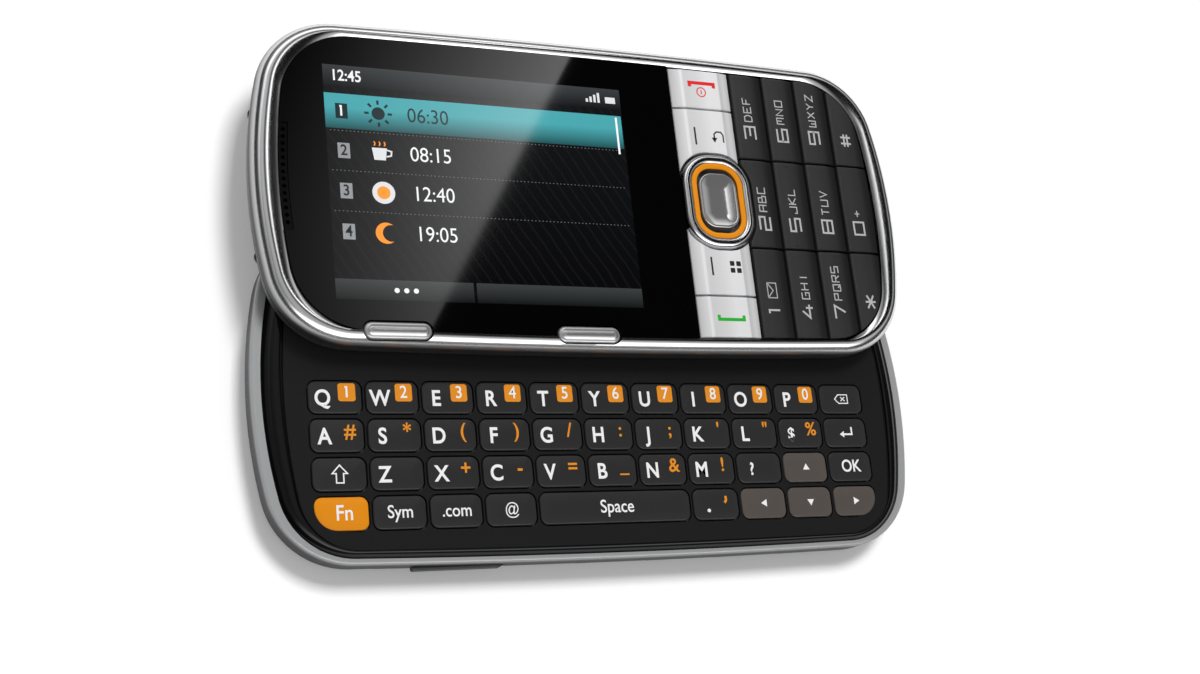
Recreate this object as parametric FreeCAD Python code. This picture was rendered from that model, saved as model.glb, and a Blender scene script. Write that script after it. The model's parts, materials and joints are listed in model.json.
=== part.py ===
import FreeCAD, Part
import math
import os
from FreeCAD import Vector

# A sliding phone lying on its back with its upper half pushed open.
# X runs along the long side, Y is the way the upper half opens, Z is up.
# The origin is the middle of the flat back of the lower half. Millimetres.

os.makedirs("parts", exist_ok=True)

# Outline shared by both halves, so that they close flush
phone_length = 113.0
phone_width = 53.4
end_bow = 4.6
side_bow = 0.85
corner_radius = 13.0

# Slide mechanism
halves_overlap = 21.9
slide_travel = phone_width - halves_overlap
halves_gap = 0.40
rail_x = 40.0
rail_length = 14.0
rail_edge_gap = 4.7
rail_start_y = phone_width / 2 - rail_edge_gap - rail_length
rail_stem_width = 1.6
rail_head_width = 3.2
rail_head_height = 0.55
rail_clearance = 0.15
channel_lip_height = 0.20
channel_roof_height = 0.30
channel_side_wall = 0.65
channel_end_margin = 0.5
spring_wire = 0.45
spring_x = 22.0
spring_spread = 8.0
spring_bend_x = 5.0
spring_loop_x = 4.0
spring_pin_gap = 7.0
spring_bend_y = 7.5
spring_loop_y = 5.5
spring_end_gap = 4.0
flex_width = 9.0
flex_thickness = 0.12
flex_shift = 3.5
flex_base_y = rail_start_y
flex_slider_y = flex_base_y - slide_travel + flex_shift
flex_fold_gap = 4.0
flex_slot_gap = 0.3
flex_layer_gap = 0.12
pocket_edge_gap = 3.2
pocket_rim = 0.6
pocket_length = 66.0
pocket_depth = 0.65

# Heights of the lower half
housing_height = 5.4
housing_edge_radius = 3.0
housing_wall = 1.2
housing_floor = 1.9
ring_height = 1.2
ring_edge_radius = 0.5
frame_rise = 1.0
frame_edge_radius = 0.8
frame_flange_height = 0.5
frame_flange_width = 1.2
deck_thickness = 0.85
deck_recess = 0.10
board_thickness = 0.8
board_inset = 3.2
board_gap = 0.1
mat_thickness = 0.30
fit_gap = 0.05

# Ring and deck outlines of the lower half
ring_width_end = 1.5
ring_width_side = 0.85
deck_border_end = 4.6
deck_border_side = 2.0
deck_length = phone_length - 2 * deck_border_end
deck_width = phone_width - 2 * deck_border_side
deck_end_bow = 3.2
deck_side_bow = 0.6
deck_corner_radius = 9.0

# Letter keys
key_column_count = 11
key_area_margin_end = 3.577
key_area_margin_front = 2.91
key_web_x = 0.636
key_web_y = 0.845
key_pitch_x = (deck_length - 2 * key_area_margin_end) / key_column_count
key_pitch_y = 5.845
key_length = key_pitch_x - key_web_x
key_width = key_pitch_y - key_web_y
key_corner = 1.25
key_crown = 0.4
key_height = 1.1
key_travel = 0.25
key_side_gap = 0.2
key_under_gap = 0.10
key_top_clearance = 0.20
key_grid_x = -0.35
key_grid_y = -deck_width / 2 + key_area_margin_front + 2 * key_pitch_y
key_edge_margin = 2.6

# Battery cover and battery
cover_thickness = 1.0
cover_split_gap = 2.0
cover_gap = 0.12
battery_length = 54.0
battery_width = 36.0
battery_height = 3.85
battery_x = -1.0
cover_split_x = battery_x - battery_length / 2 - cover_split_gap
battery_gap = 0.35
bay_wall = 0.9
contact_count = 4
contact_pitch = 3.0
contact_length = 1.6
contact_width = 0.8
contact_height = 2.6

# Openings and things behind them
camera_x = -phone_length / 2 + 12.0
camera_y = 9.0
camera_size = 8.0
camera_window_radius = 3.4
camera_window_thickness = 0.6
camera_window_recess = 0.1
speaker_x = -phone_length / 2 + 13.5
speaker_y = -9.0
speaker_length = 11.0
speaker_width = 15.0
speaker_height = 2.9
sound_hole_radius = 0.5
sound_hole_pitch = 2.2
motor_radius = 1.55
motor_length = 11.0
motor_x = phone_length / 2 - 12.5
motor_y = 12.0
motor_weight_length = 3.5
microphone_x = phone_length / 2 - 4.9
microphone_y = -6.0
microphone_hole_height = 3.6
microphone_size = 3.0
microphone_height = 1.1
microphone_hole = 0.4

# Small gaps, recesses and inner radii
side_key_round_share = 0.8
jack_face_gap = 0.1
usb_mouth_gap = 0.3
usb_mouth_low_gap = 0.2
usb_setback = 0.35
usb_tongue_setback = 0.6
flange_side_gap = 0.6
mat_margin = 0.3
mat_edge_gap = 0.2
board_hole_gap = 0.2
battery_corner_radius = 1.5
contact_gap = 0.1
lens_barrel_radius = 2.9
lens_barrel_height = 1.4
motor_shaft_radius = 0.35
motor_weight_gap = 0.4
screw_end_gap = 0.1
screw_tip_gap = 0.2
screw_recess_radius = 0.45
screw_recess_depth = 0.35
slider_screw_recess_radius = 0.4
slider_screw_recess_depth = 0.25
rail_head_gap = 0.1
earpiece_end_gap = 0.1
earpiece_speaker_setback = 0.4
usb_width = 7.5
usb_height = 2.7
usb_depth = 5.6
usb_wall = 0.35
usb_tongue_height = 0.6
usb_tongue_width = 4.4
jack_x = -phone_length / 2 + 18.5
jack_height = 2.95
jack_bore_radius = 1.8
jack_wall = 0.4
jack_length = 12.0
jack_bore_depth = 10.5
can_length = 15.0
can_width = 22.0
can_height = 1.5
can_wall = 0.2
can_x = battery_x + battery_length / 2 + 11.0
can_y = -6.0
part_gap = 0.05

# Side keys of the lower half
rocker_x = -26.0
rocker_length = 14.0
rocker_height = 1.9
rocker_center_height = 3.35
side_key_proud = 0.45
side_key_flange = 0.7
side_key_gap = 0.35
camera_key_x = 26.0
camera_key_length = 8.0

# Screws of the lower half
screw_inset = 5.0
screw_y = 10.0
screw_shank_radius = 0.7
screw_head_radius = 1.3
screw_head_height = 0.75
screw_boss_radius = 1.9
screw_hole_gap = 0.05

# Upper half
cover_height = 1.9
cover_inset = 0.3
cover_edge_radius = 1.0
cover_wall = 1.5
cover_floor = 0.9
pocket_roof = 0.55
bezel_height = 4.1
bezel_edge_radius = 2.0
bezel_lower_radius = 0.8
bezel_border_end = 4.05
bezel_border_side = 2.5
field_length = phone_length - 2 * bezel_border_end
field_width = phone_width - 2 * bezel_border_side
field_end_bow = 3.0
field_side_bow = 0.5
field_corner_radius = 11.3
field_offset_y = -0.35
window_thickness = 1.0
window_recess = 0.2
window_gap = 0.08
keypad_area_length = 37.5
function_start_x = field_length / 2 - keypad_area_length
function_gap = 0.2
window_end_x = function_start_x - function_gap
panel_margin_left = 4.85
panel_margin_right = 4.35
panel_margin_side = 3.2
panel_start_x = -field_length / 2 + panel_margin_left
panel_length = window_end_x - panel_margin_right - panel_start_x
panel_width = field_width - 2 * panel_margin_side
panel_height = 2.15
panel_gap = 0.15
slider_board_lift = 0.6
slider_board_thickness = 0.8
slider_board_gap = 0.3
slider_screw_y = 11.5
slider_screw_inset = 2.1
slider_screw_head_height = 0.5
slider_screw_head_radius = 1.1
slider_screw_length = 3.4
slider_screw_rise = 0.1
earpiece_half_width = 8.6
earpiece_depth = 1.35
earpiece_hole_radius = 0.32
earpiece_hole_count = 14
earpiece_grille_thickness = 0.7
earpiece_grille_recess = 0.1
earpiece_speaker_depth = 3.4
earpiece_speaker_width = 12.0
earpiece_speaker_height = 2.3

# Keys of the upper half
face_key_height = 1.6
face_key_travel = 0.25
face_key_gap = 0.2
face_key_under_gap = 0.15
face_key_edge = 0.25
function_length = 11.45
end_key_depth = 7.5
function_end_x = function_start_x + function_length
function_split_y = field_width / 2 - end_key_depth
keypad_start_x = function_end_x + function_gap
keypad_pitch_x = 6.38
keypad_row_count = 3
keypad_split_y = field_width / keypad_row_count / 2
keypad_mat_inset = 0.5
navigation_shift = 0.725
navigation_x = (function_start_x + function_end_x) / 2 + navigation_shift
navigation_length = 12.9
navigation_width = 16.7
navigation_corner = 5.6
navigation_proud = 0.35
navigation_edge = 0.7
navigation_gap = 0.35
select_length = 7.0
select_width = 9.7
select_corner = 2.6
select_proud = 0.25
select_edge = 0.3
soft_key_length = 10.6
soft_key_width = 2.7
soft_key_height = 1.6
soft_key_proud = 0.25
soft_key_edge_gap = 2.5
soft_key_y = -phone_width / 2 + soft_key_edge_gap
left_soft_key_inset = 11.9
right_soft_key_inset = 19.45
soft_key_x = (panel_start_x + left_soft_key_inset, window_end_x - right_soft_key_inset)
soft_key_edge = 0.5

# Heights worked out from the values above
ring_bottom = housing_height
ring_top = ring_bottom + ring_height
frame_top = ring_top + frame_rise
deck_top = frame_top - deck_recess
deck_bottom = deck_top - deck_thickness
flange_top = deck_bottom - fit_gap
flange_bottom = flange_top - frame_flange_height
board_top = flange_bottom - board_gap
board_bottom = board_top - board_thickness
mat_bottom = board_top + fit_gap
mat_top = mat_bottom + mat_thickness
key_bottom = mat_top + key_travel + key_under_gap
key_top = key_bottom + key_height
slider_bottom = max(key_top + key_top_clearance, frame_top + halves_gap)
bezel_bottom = slider_bottom + cover_height
bezel_top = bezel_bottom + bezel_height
window_top = bezel_top - window_recess
window_bottom = window_top - window_thickness
slider_board_bottom = slider_bottom + cover_floor + slider_board_lift
slider_board_top = slider_board_bottom + slider_board_thickness
face_key_top = window_top + 0.05
face_key_bottom = face_key_top - face_key_height
keypad_mat_bottom = slider_board_top + fit_gap
keypad_mat_top = face_key_bottom - face_key_travel - face_key_under_gap
open_y = slide_travel


def box(x0, x1, y0, y1, z0, z1):
    """A box between two corners."""
    return Part.makeBox(x1 - x0, y1 - y0, z1 - z0, Vector(x0, y0, z0))


def disc(radius, height, x, y, z, direction=Vector(0, 0, 1)):
    """A cylinder that starts at x, y, z."""
    return Part.makeCylinder(radius, height, Vector(x, y, z), direction)


def arc(a, b, c):
    """An edge of the circle through three points."""
    return Part.Arc(a, b, c).toShape()


def bowed_face(length, width, bow_end, bow_side, radius, z=0.0, inset=0.0, y=0.0):
    """A rounded oblong whose ends and sides are shallow arcs.

    The corner circle touches the end circle and the side circle from inside, so all
    the arcs meet smoothly. The inset moves every arc inward by the same distance.
    """
    half_length = length / 2.0
    half_width = width / 2.0
    end_radius = (half_width ** 2 + bow_end ** 2) / (2.0 * bow_end)
    side_radius = (half_length ** 2 + bow_side ** 2) / (2.0 * bow_side)
    end_center = half_length - end_radius
    side_center = half_width - side_radius
    reach_end = end_radius - radius
    reach_side = side_radius - radius
    between = math.hypot(end_center, side_center)
    along = (reach_end ** 2 - reach_side ** 2 + between ** 2) / (2.0 * between)
    across = math.sqrt(reach_end ** 2 - along ** 2)
    unit_x = -end_center / between
    unit_y = side_center / between
    corner_x = end_center + along * unit_x - across * unit_y
    corner_y = along * unit_y + across * unit_x
    if corner_y < 0.0:
        corner_x = end_center + along * unit_x + across * unit_y
        corner_y = along * unit_y - across * unit_x
    end_radius -= inset
    side_radius -= inset
    corner = radius - inset
    end_angle = math.atan2(corner_y, corner_x - end_center)
    side_angle = math.atan2(corner_y - side_center, corner_x)
    mid_angle = (end_angle + side_angle) / 2.0
    p_end_x = end_center + end_radius * math.cos(end_angle)
    p_end_y = end_radius * math.sin(end_angle)
    p_side_x = side_radius * math.cos(side_angle)
    p_side_y = side_center + side_radius * math.sin(side_angle)
    p_mid_x = corner_x + corner * math.cos(mid_angle)
    p_mid_y = corner_y + corner * math.sin(mid_angle)
    tip_x = half_length - inset
    tip_y = half_width - inset

    def at(px, py):
        return Vector(px, y + py, z)

    edges = [
        arc(at(p_side_x, p_side_y), at(p_mid_x, p_mid_y), at(p_end_x, p_end_y)),
        arc(at(p_end_x, p_end_y), at(tip_x, 0), at(p_end_x, -p_end_y)),
        arc(at(p_end_x, -p_end_y), at(p_mid_x, -p_mid_y), at(p_side_x, -p_side_y)),
        arc(at(p_side_x, -p_side_y), at(0, -tip_y), at(-p_side_x, -p_side_y)),
        arc(at(-p_side_x, -p_side_y), at(-p_mid_x, -p_mid_y), at(-p_end_x, -p_end_y)),
        arc(at(-p_end_x, -p_end_y), at(-tip_x, 0), at(-p_end_x, p_end_y)),
        arc(at(-p_end_x, p_end_y), at(-p_mid_x, p_mid_y), at(-p_side_x, p_side_y)),
        arc(at(-p_side_x, p_side_y), at(0, tip_y), at(p_side_x, p_side_y)),
    ]
    return Part.Face(Part.Wire(edges))


def bowed_slab(values, z0, z1, inset=0.0, y=0.0):
    """The bowed oblong, raised from z0 to z1."""
    return bowed_face(*values, z=z0, inset=inset, y=y).extrude(Vector(0, 0, z1 - z0))


def rounded_slab(x, y, length, width, radius, z0, z1):
    """A block with rounded upright corners, centred on x, y."""
    block = box(x - length / 2, x + length / 2, y - width / 2, y + width / 2, z0, z1)
    limit = min(length, width) / 2 - 0.01
    upright = [e for e in block.Edges if abs(e.tangentAt(e.FirstParameter).z) > 0.9]
    return block.makeFillet(min(radius, limit), upright)


def edges_at(shape, z):
    """The edges that lie wholly in the plane at this height."""
    found = []
    for edge in shape.Edges:
        bounds = edge.BoundBox
        if abs(bounds.ZMin - z) < 1e-4 and abs(bounds.ZMax - z) < 1e-4:
            found.append(edge)
    return found


def soften(shape, z, radius):
    """Round the edges at this height."""
    return shape.makeFillet(radius, edges_at(shape, z))


def save(name, shapes):
    """Write one named piece, or a group of like solids."""
    solids = []
    for shape in shapes:
        solids.extend(shape.Solids)
    result = solids[0] if len(solids) == 1 else Part.makeCompound(solids)
    result.exportStep("parts/" + name + ".step")


phone_shape = (phone_length, phone_width, end_bow, side_bow, corner_radius)
ring_inner_shape = (
    phone_length - 2 * ring_width_end,
    phone_width - 2 * ring_width_side,
    end_bow,
    side_bow,
    corner_radius - ring_width_end,
)
deck_shape = (deck_length, deck_width, deck_end_bow, deck_side_bow, deck_corner_radius)
field_shape = (field_length, field_width, field_end_bow, field_side_bow, field_corner_radius)
field_y = open_y + field_offset_y


def screw_places():
    """Where the four screws of the lower half stand."""
    x = phone_length / 2 - screw_inset
    return [(sx * x, sy * screw_y) for sx in (-1, 1) for sy in (-1, 1)]


def slider_screw_places():
    """Where the four screws of the upper half stand."""
    x = phone_length / 2 - slider_screw_inset
    return [(sx * x, open_y + sy * slider_screw_y) for sx in (-1, 1) for sy in (-1, 1)]


def side_surface(sign, x, z):
    """The y of the side wall at x and height z."""
    section = bowed_face(*phone_shape, z=z)
    line = Part.makeLine(Vector(x, 0, z), Vector(x, sign * phone_width, z))
    return sign * section.common(line).Length


def side_key(sign, x, length):
    """A key of the side wall: a proud cap with a flange behind the wall."""
    face_y = side_surface(sign, x, rocker_center_height)
    top_y = face_y + sign * side_key_proud
    inner_y = face_y - sign * (housing_wall + side_key_gap)
    back_y = inner_y - sign * side_key_flange
    low_y, high_y = sorted((top_y, inner_y))
    cap = box(
        x - length / 2, x + length / 2, low_y, high_y,
        rocker_center_height - rocker_height / 2, rocker_center_height + rocker_height / 2,
    )
    long_edges = [
        e for e in cap.Edges
        if abs(e.BoundBox.YMin - top_y) < 1e-6 and abs(e.BoundBox.YMax - top_y) < 1e-6
    ]
    cap = cap.makeFillet(side_key_proud * side_key_round_share, long_edges)
    low_y, high_y = sorted((inner_y, back_y))
    flange = box(
        x - length / 2 - side_key_flange, x + length / 2 + side_key_flange, low_y, high_y,
        rocker_center_height - rocker_height / 2, rocker_center_height + rocker_height / 2,
    )
    return cap.fuse(flange).removeSplitter()


def side_key_slot(sign, x, length):
    """The slot in the side wall that a side key moves in."""
    low_y, high_y = sorted((sign * phone_width, sign * (phone_width / 2 - 4 * housing_wall)))
    return box(
        x - length / 2 - side_key_gap, x + length / 2 + side_key_gap, low_y, high_y,
        rocker_center_height - rocker_height / 2 - side_key_gap,
        rocker_center_height + rocker_height / 2 + side_key_gap,
    )


def jack_face():
    """The y of the headset jack's mouth, just inside the rounded wall."""
    low_edge = jack_height - jack_bore_radius - jack_wall
    drop = housing_edge_radius - low_edge
    round_off = housing_edge_radius - math.sqrt(housing_edge_radius ** 2 - max(drop, 0.0) ** 2)
    return side_surface(1, jack_x, jack_height) - round_off - jack_face_gap


def rear_housing():
    """The back tub with its bay, bosses and side openings."""
    body = bowed_slab(phone_shape, 0.0, housing_height)
    body = soften(body, 0.0, housing_edge_radius)
    body = body.cut(bowed_slab(phone_shape, housing_floor, housing_height + 1, housing_wall))
    bay_x0 = battery_x - battery_length / 2 - battery_gap
    bay_x1 = battery_x + battery_length / 2 + battery_gap
    bay_y = battery_width / 2 + battery_gap
    wall_top = board_bottom - fit_gap
    bay = box(bay_x0 - bay_wall, bay_x1 + bay_wall, -bay_y - bay_wall, bay_y + bay_wall,
              housing_floor, wall_top)
    body = body.fuse(bay)
    for x, y in screw_places():
        boss = disc(screw_boss_radius, wall_top - housing_floor, x, y, housing_floor)
        body = body.fuse(boss)
    body = body.cut(box(bay_x0, bay_x1, -bay_y, bay_y, -1, housing_height))
    contact_y = contact_count * contact_pitch / 2
    body = body.cut(box(bay_x1 - 1, bay_x1 + bay_wall + 1, -contact_y, contact_y,
                        housing_floor, housing_height))
    screw_head_top = cover_thickness + cover_gap + fit_gap + screw_head_height
    for x, y in screw_places():
        body = body.cut(disc(screw_shank_radius + screw_hole_gap, housing_height, x, y, 0))
        body = body.cut(disc(screw_head_radius + screw_hole_gap, screw_head_top, x, y, 0))
    body = body.cut(box(cover_split_x - cover_gap, phone_length, -phone_width, phone_width,
                        -1, cover_thickness + cover_gap))
    window_gap_radius = camera_window_radius + screw_hole_gap
    body = body.cut(disc(window_gap_radius, housing_floor + 1, camera_x, camera_y, -0.5))
    pocket = camera_size / 2 + screw_hole_gap
    pocket_floor = camera_window_recess + camera_window_thickness + part_gap
    body = body.cut(box(camera_x - pocket, camera_x + pocket, camera_y - pocket,
                        camera_y + pocket, pocket_floor, housing_height))
    for column in range(-1, 2):
        for row in range(-2, 3):
            hole_x = speaker_x + column * sound_hole_pitch
            hole_y = speaker_y + row * sound_hole_pitch
            body = body.cut(disc(sound_hole_radius, housing_floor + 1, hole_x, hole_y, -0.5))
    tube = jack_bore_radius + jack_wall + screw_hole_gap
    face_y = jack_face()
    body = body.cut(disc(tube, phone_width, jack_x, face_y - jack_length - part_gap,
                         jack_height, Vector(0, 1, 0)))
    body = body.cut(box(jack_x - tube, jack_x + tube, face_y - jack_length - part_gap,
                        face_y - housing_wall, jack_height, housing_height))
    mouth = usb_width / 2 + usb_mouth_gap
    usb_top = board_bottom - part_gap
    body = body.cut(box(phone_length / 2 - 4 * housing_wall, phone_length, -mouth, mouth,
                        usb_top - usb_height - usb_mouth_low_gap, usb_top + part_gap))
    body = body.cut(disc(microphone_hole, phone_length, phone_length / 2 - 2 * housing_wall,
                         microphone_y, microphone_hole_height, Vector(1, 0, 0)))
    body = body.cut(side_key_slot(-1, rocker_x, rocker_length))
    body = body.cut(side_key_slot(1, camera_key_x, camera_key_length))
    return body


def battery_cover():
    """The sliding part of the back, flush with the housing all round."""
    body = bowed_slab(phone_shape, 0.0, housing_height)
    body = soften(body, 0.0, housing_edge_radius)
    keep = box(cover_split_x, phone_length, -phone_width, phone_width, 0, cover_thickness)
    return body.common(keep)


def trim_ring():
    """The bright band round the lower half."""
    outer = bowed_slab(phone_shape, ring_bottom, ring_top)
    outer = soften(outer, ring_top, ring_edge_radius)
    return outer.cut(bowed_slab(ring_inner_shape, ring_bottom - 1, ring_top + 1))


screw_top = flange_top - screw_end_gap


def keyboard_frame():
    """The glossy rim round the letter keys, with a flange under the deck."""
    rim = bowed_slab(ring_inner_shape, ring_bottom, frame_top, inset=fit_gap)
    rim = soften(rim, frame_top, frame_edge_radius)
    rim = rim.cut(bowed_slab(deck_shape, deck_bottom - fit_gap, frame_top + 1))
    rim = rim.cut(bowed_slab(deck_shape, ring_bottom - 1, frame_top + 1, frame_flange_width))
    below = bowed_slab(phone_shape, ring_bottom - 1, flange_bottom, housing_wall + flange_side_gap)
    rim = rim.cut(below)
    for x, y in screw_places():
        rim = rim.cut(disc(screw_shank_radius, screw_top - ring_bottom, x, y, ring_bottom))
    return rim


def key_place(column, row):
    """The middle of a letter key: columns count from the left, rows from the top."""
    x = key_grid_x + (column - 5) * key_pitch_x
    y = key_grid_y + (1.5 - row) * key_pitch_y
    return x, y


def key_outline(column, row, span, grow, z0, z1):
    """The block of a letter key, cut by the deck's corner where it is near."""
    x0, y = key_place(column, row)
    x1, y = key_place(column + span - 1, row)
    length = key_length + (x1 - x0) + 2 * grow
    block = rounded_slab((x0 + x1) / 2, y, length, key_width + 2 * grow,
                         key_corner + grow, z0, z1)
    if row == 3 and column in (0, 10):
        block = block.common(bowed_slab(deck_shape, z0 - 1, z1 + 1, key_edge_margin - grow))
    return block


def letter_key(column, row, span=1):
    """One letter key with softened top edges."""
    block = key_outline(column, row, span, 0.0, key_bottom, key_top)
    return soften(block, key_top, key_crown)


space_column_index = 4
space_column_count = 3
letter_keys = {
    "key_row_1": [(column, 0) for column in range(11)],
    "key_row_2": [(column, 1) for column in range(11)],
    "key_row_3": [(column, 2) for column in range(11) if column != 9],
    "key_row_4": [(1, 3), (2, 3), (3, 3), (7, 3)],
    "function_key": [(0, 3)],
    "arrow_keys": [(9, 2), (8, 3), (9, 3), (10, 3)],
}


def keyboard_deck():
    """The matt plate that the letter keys stand in."""
    plate = bowed_slab(deck_shape, deck_bottom, deck_top, inset=fit_gap)
    holes = []
    for places in letter_keys.values():
        for column, row in places:
            holes.append(key_outline(column, row, 1, key_side_gap, deck_bottom - 1, deck_top + 1))
    holes.append(key_outline(space_column_index, 3, space_column_count, key_side_gap,
                             deck_bottom - 1, deck_top + 1))
    plate = plate.cut(holes)
    flex_reach = flex_width / 2 + flex_slot_gap
    flex_slot = box(-flex_reach, flex_reach, flex_base_y - flex_slot_gap,
                    flex_base_y + flex_thickness + flex_slot_gap, deck_bottom - 1, deck_top + 1)
    return plate.cut(flex_slot)


def keyboard_mat():
    """The silicone sheet that springs the letter keys back, as one flat plate."""
    left, top = key_place(0, 0)
    right, bottom = key_place(10, 3)
    sheet = box(left - key_length / 2 - mat_margin, right + key_length / 2 + mat_margin,
                bottom - key_width / 2 - mat_margin, top + key_width / 2 + mat_margin,
                mat_bottom, mat_top)
    return sheet.common(bowed_slab(deck_shape, mat_bottom, mat_top, frame_flange_width + mat_edge_gap))


def main_board():
    """The circuit board of the lower half, with a hole for each screw."""
    board = bowed_slab(phone_shape, board_bottom, board_top, board_inset)
    for x, y in screw_places():
        board = board.cut(disc(screw_shank_radius + board_hole_gap, 4, x, y, board_bottom - 1))
    return board


def shield_can():
    """The thin metal lid over the radio parts, open towards the board."""
    top = board_bottom - part_gap
    outer = box(can_x - can_length / 2, can_x + can_length / 2,
                can_y - can_width / 2, can_y + can_width / 2, top - can_height, top)
    inner = box(can_x - can_length / 2 + can_wall, can_x + can_length / 2 - can_wall,
                can_y - can_width / 2 + can_wall, can_y + can_width / 2 - can_wall,
                top - can_height + can_wall, top)
    return outer.cut(inner)


def battery():
    """The removable battery in its bay."""
    z0 = cover_thickness + cover_gap + fit_gap
    return rounded_slab(battery_x, 0, battery_length, battery_width, battery_corner_radius,
                        z0, z0 + battery_height)


def battery_contacts():
    """Spring contacts between the board and the battery's end."""
    x0 = battery_x + battery_length / 2 + contact_gap
    blades = []
    for index in range(contact_count):
        y = (index - (contact_count - 1) / 2) * contact_pitch
        top = board_bottom - part_gap
        blades.append(box(x0, x0 + contact_length, y - contact_width / 2,
                          y + contact_width / 2, top - contact_height, top))
    return blades


def camera_module():
    """The camera behind its window: a square base with a round lens barrel."""
    z0 = camera_window_recess + camera_window_thickness + 2 * part_gap
    top = board_bottom - part_gap
    barrel = disc(lens_barrel_radius, lens_barrel_height, camera_x, camera_y, z0)
    base = box(camera_x - camera_size / 2, camera_x + camera_size / 2,
               camera_y - camera_size / 2, camera_y + camera_size / 2, z0 + lens_barrel_height, top)
    return barrel.fuse(base)


def camera_window():
    """The clear disc over the camera."""
    return disc(camera_window_radius, camera_window_thickness, camera_x, camera_y,
                camera_window_recess)


def loudspeaker():
    """The ringer behind the sound holes of the back."""
    body = rounded_slab(speaker_x, speaker_y, speaker_length, speaker_width, 2.5,
                        housing_floor + part_gap, housing_floor + part_gap + speaker_height)
    return body


def vibration_motor():
    """The motor with its half-round eccentric weight."""
    z = housing_floor + part_gap + motor_radius
    can = disc(motor_radius, motor_length - motor_weight_length, motor_x, motor_y, z,
               Vector(-1, 0, 0))
    shaft = disc(motor_shaft_radius, motor_weight_length, motor_x, motor_y, z, Vector(1, 0, 0))
    weight = disc(motor_radius - part_gap, motor_weight_length - motor_weight_gap,
                  motor_x + motor_weight_gap, motor_y, z,
                  Vector(1, 0, 0))
    half = box(motor_x, motor_x + motor_weight_length, motor_y - 3, motor_y + 3, z, z + 3)
    return can.fuse(shaft).fuse(weight.common(half))


def microphone():
    """The microphone near the end wall, under the board."""
    top = board_bottom - part_gap
    return box(microphone_x - microphone_size / 2, microphone_x + microphone_size / 2,
               microphone_y - microphone_size / 2, microphone_y + microphone_size / 2,
               top - microphone_height, top)


def usb_socket():
    """The charging socket in the end wall: a metal sleeve with a tongue."""
    x1 = phone_length / 2 - usb_setback
    x0 = x1 - usb_depth
    top = board_bottom - part_gap
    sleeve = box(x0, x1, -usb_width / 2, usb_width / 2, top - usb_height, top)
    hollow = box(x0 + usb_wall, x1 + 1, -usb_width / 2 + usb_wall, usb_width / 2 - usb_wall,
                 top - usb_height + usb_wall, top - usb_wall)
    middle = top - usb_height / 2
    tongue = box(x0 + usb_wall, x1 - usb_tongue_setback, -usb_tongue_width / 2, usb_tongue_width / 2,
                 middle - usb_tongue_height / 2, middle + usb_tongue_height / 2)
    return sleeve.cut(hollow).fuse(tongue)


def headset_jack():
    """The round headset socket in the side wall."""
    y = jack_face()
    tube = disc(jack_bore_radius + jack_wall, jack_length, jack_x, y - jack_length,
                jack_height, Vector(0, 1, 0))
    bore = disc(jack_bore_radius, jack_bore_depth + 1, jack_x, y - jack_bore_depth,
                jack_height, Vector(0, 1, 0))
    return tube.cut(bore)


def housing_screws():
    """Four screws from the back through the board into the keyboard frame."""
    head_bottom = cover_thickness + cover_gap + fit_gap
    screws = []
    for x, y in screw_places():
        head = disc(screw_head_radius, screw_head_height, x, y, head_bottom)
        head = head.cut(disc(screw_recess_radius, screw_recess_depth, x, y, head_bottom - 0.01))
        shank_z = head_bottom + screw_head_height
        shank = disc(screw_shank_radius, screw_top - shank_z, x, y, shank_z)
        screws.append(head.fuse(shank))
    return screws


rail_head_bottom = slider_bottom + channel_lip_height + rail_head_gap
rail_head_top = rail_head_bottom + rail_head_height
channel_roof_bottom = rail_head_top + rail_head_gap
channel_top = channel_roof_bottom + channel_roof_height
channel_half_width = rail_head_width / 2 + rail_clearance + channel_side_wall
channel_low_y = rail_start_y - slide_travel - channel_end_margin
channel_high_y = rail_start_y + rail_length + channel_end_margin


def slide_rails():
    """Two T-shaped rails on the deck that hold the upper half down."""
    rails = []
    for side in (-1, 1):
        x = side * rail_x
        y0 = rail_start_y
        y1 = rail_start_y + rail_length
        stem = box(x - rail_stem_width / 2, x + rail_stem_width / 2, y0, y1,
                   deck_top, rail_head_top)
        head = box(x - rail_head_width / 2, x + rail_head_width / 2, y0, y1,
                   rail_head_bottom, rail_head_top)
        rails.append(stem.fuse(head).removeSplitter())
    return rails


def slide_channels():
    """Two folded channels in the upper half that run on the rails."""
    channels = []
    lip = rail_stem_width / 2 + rail_clearance
    room = rail_head_width / 2 + rail_clearance
    for side in (-1, 1):
        x = side * rail_x
        y0 = open_y + channel_low_y
        y1 = open_y + channel_high_y
        outer = box(x - channel_half_width, x + channel_half_width, y0, y1,
                    slider_bottom, channel_top)
        head_room = box(x - room, x + room, y0 - 1, y1 + 1,
                        slider_bottom + channel_lip_height, channel_roof_bottom)
        lip_room = box(x - lip, x + lip, y0 - 1, y1 + 1,
                       slider_bottom - 1, channel_roof_bottom)
        channels.append(outer.cut(head_room).cut(lip_room))
    return channels


def pocket_shape():
    """The shallow space in the upper half's underside for springs and flex."""
    y_reach = phone_width / 2 - pocket_edge_gap
    return box(-pocket_length / 2, pocket_length / 2, open_y - y_reach, open_y + y_reach,
               slider_bottom - 1, slider_bottom + pocket_depth)


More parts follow.
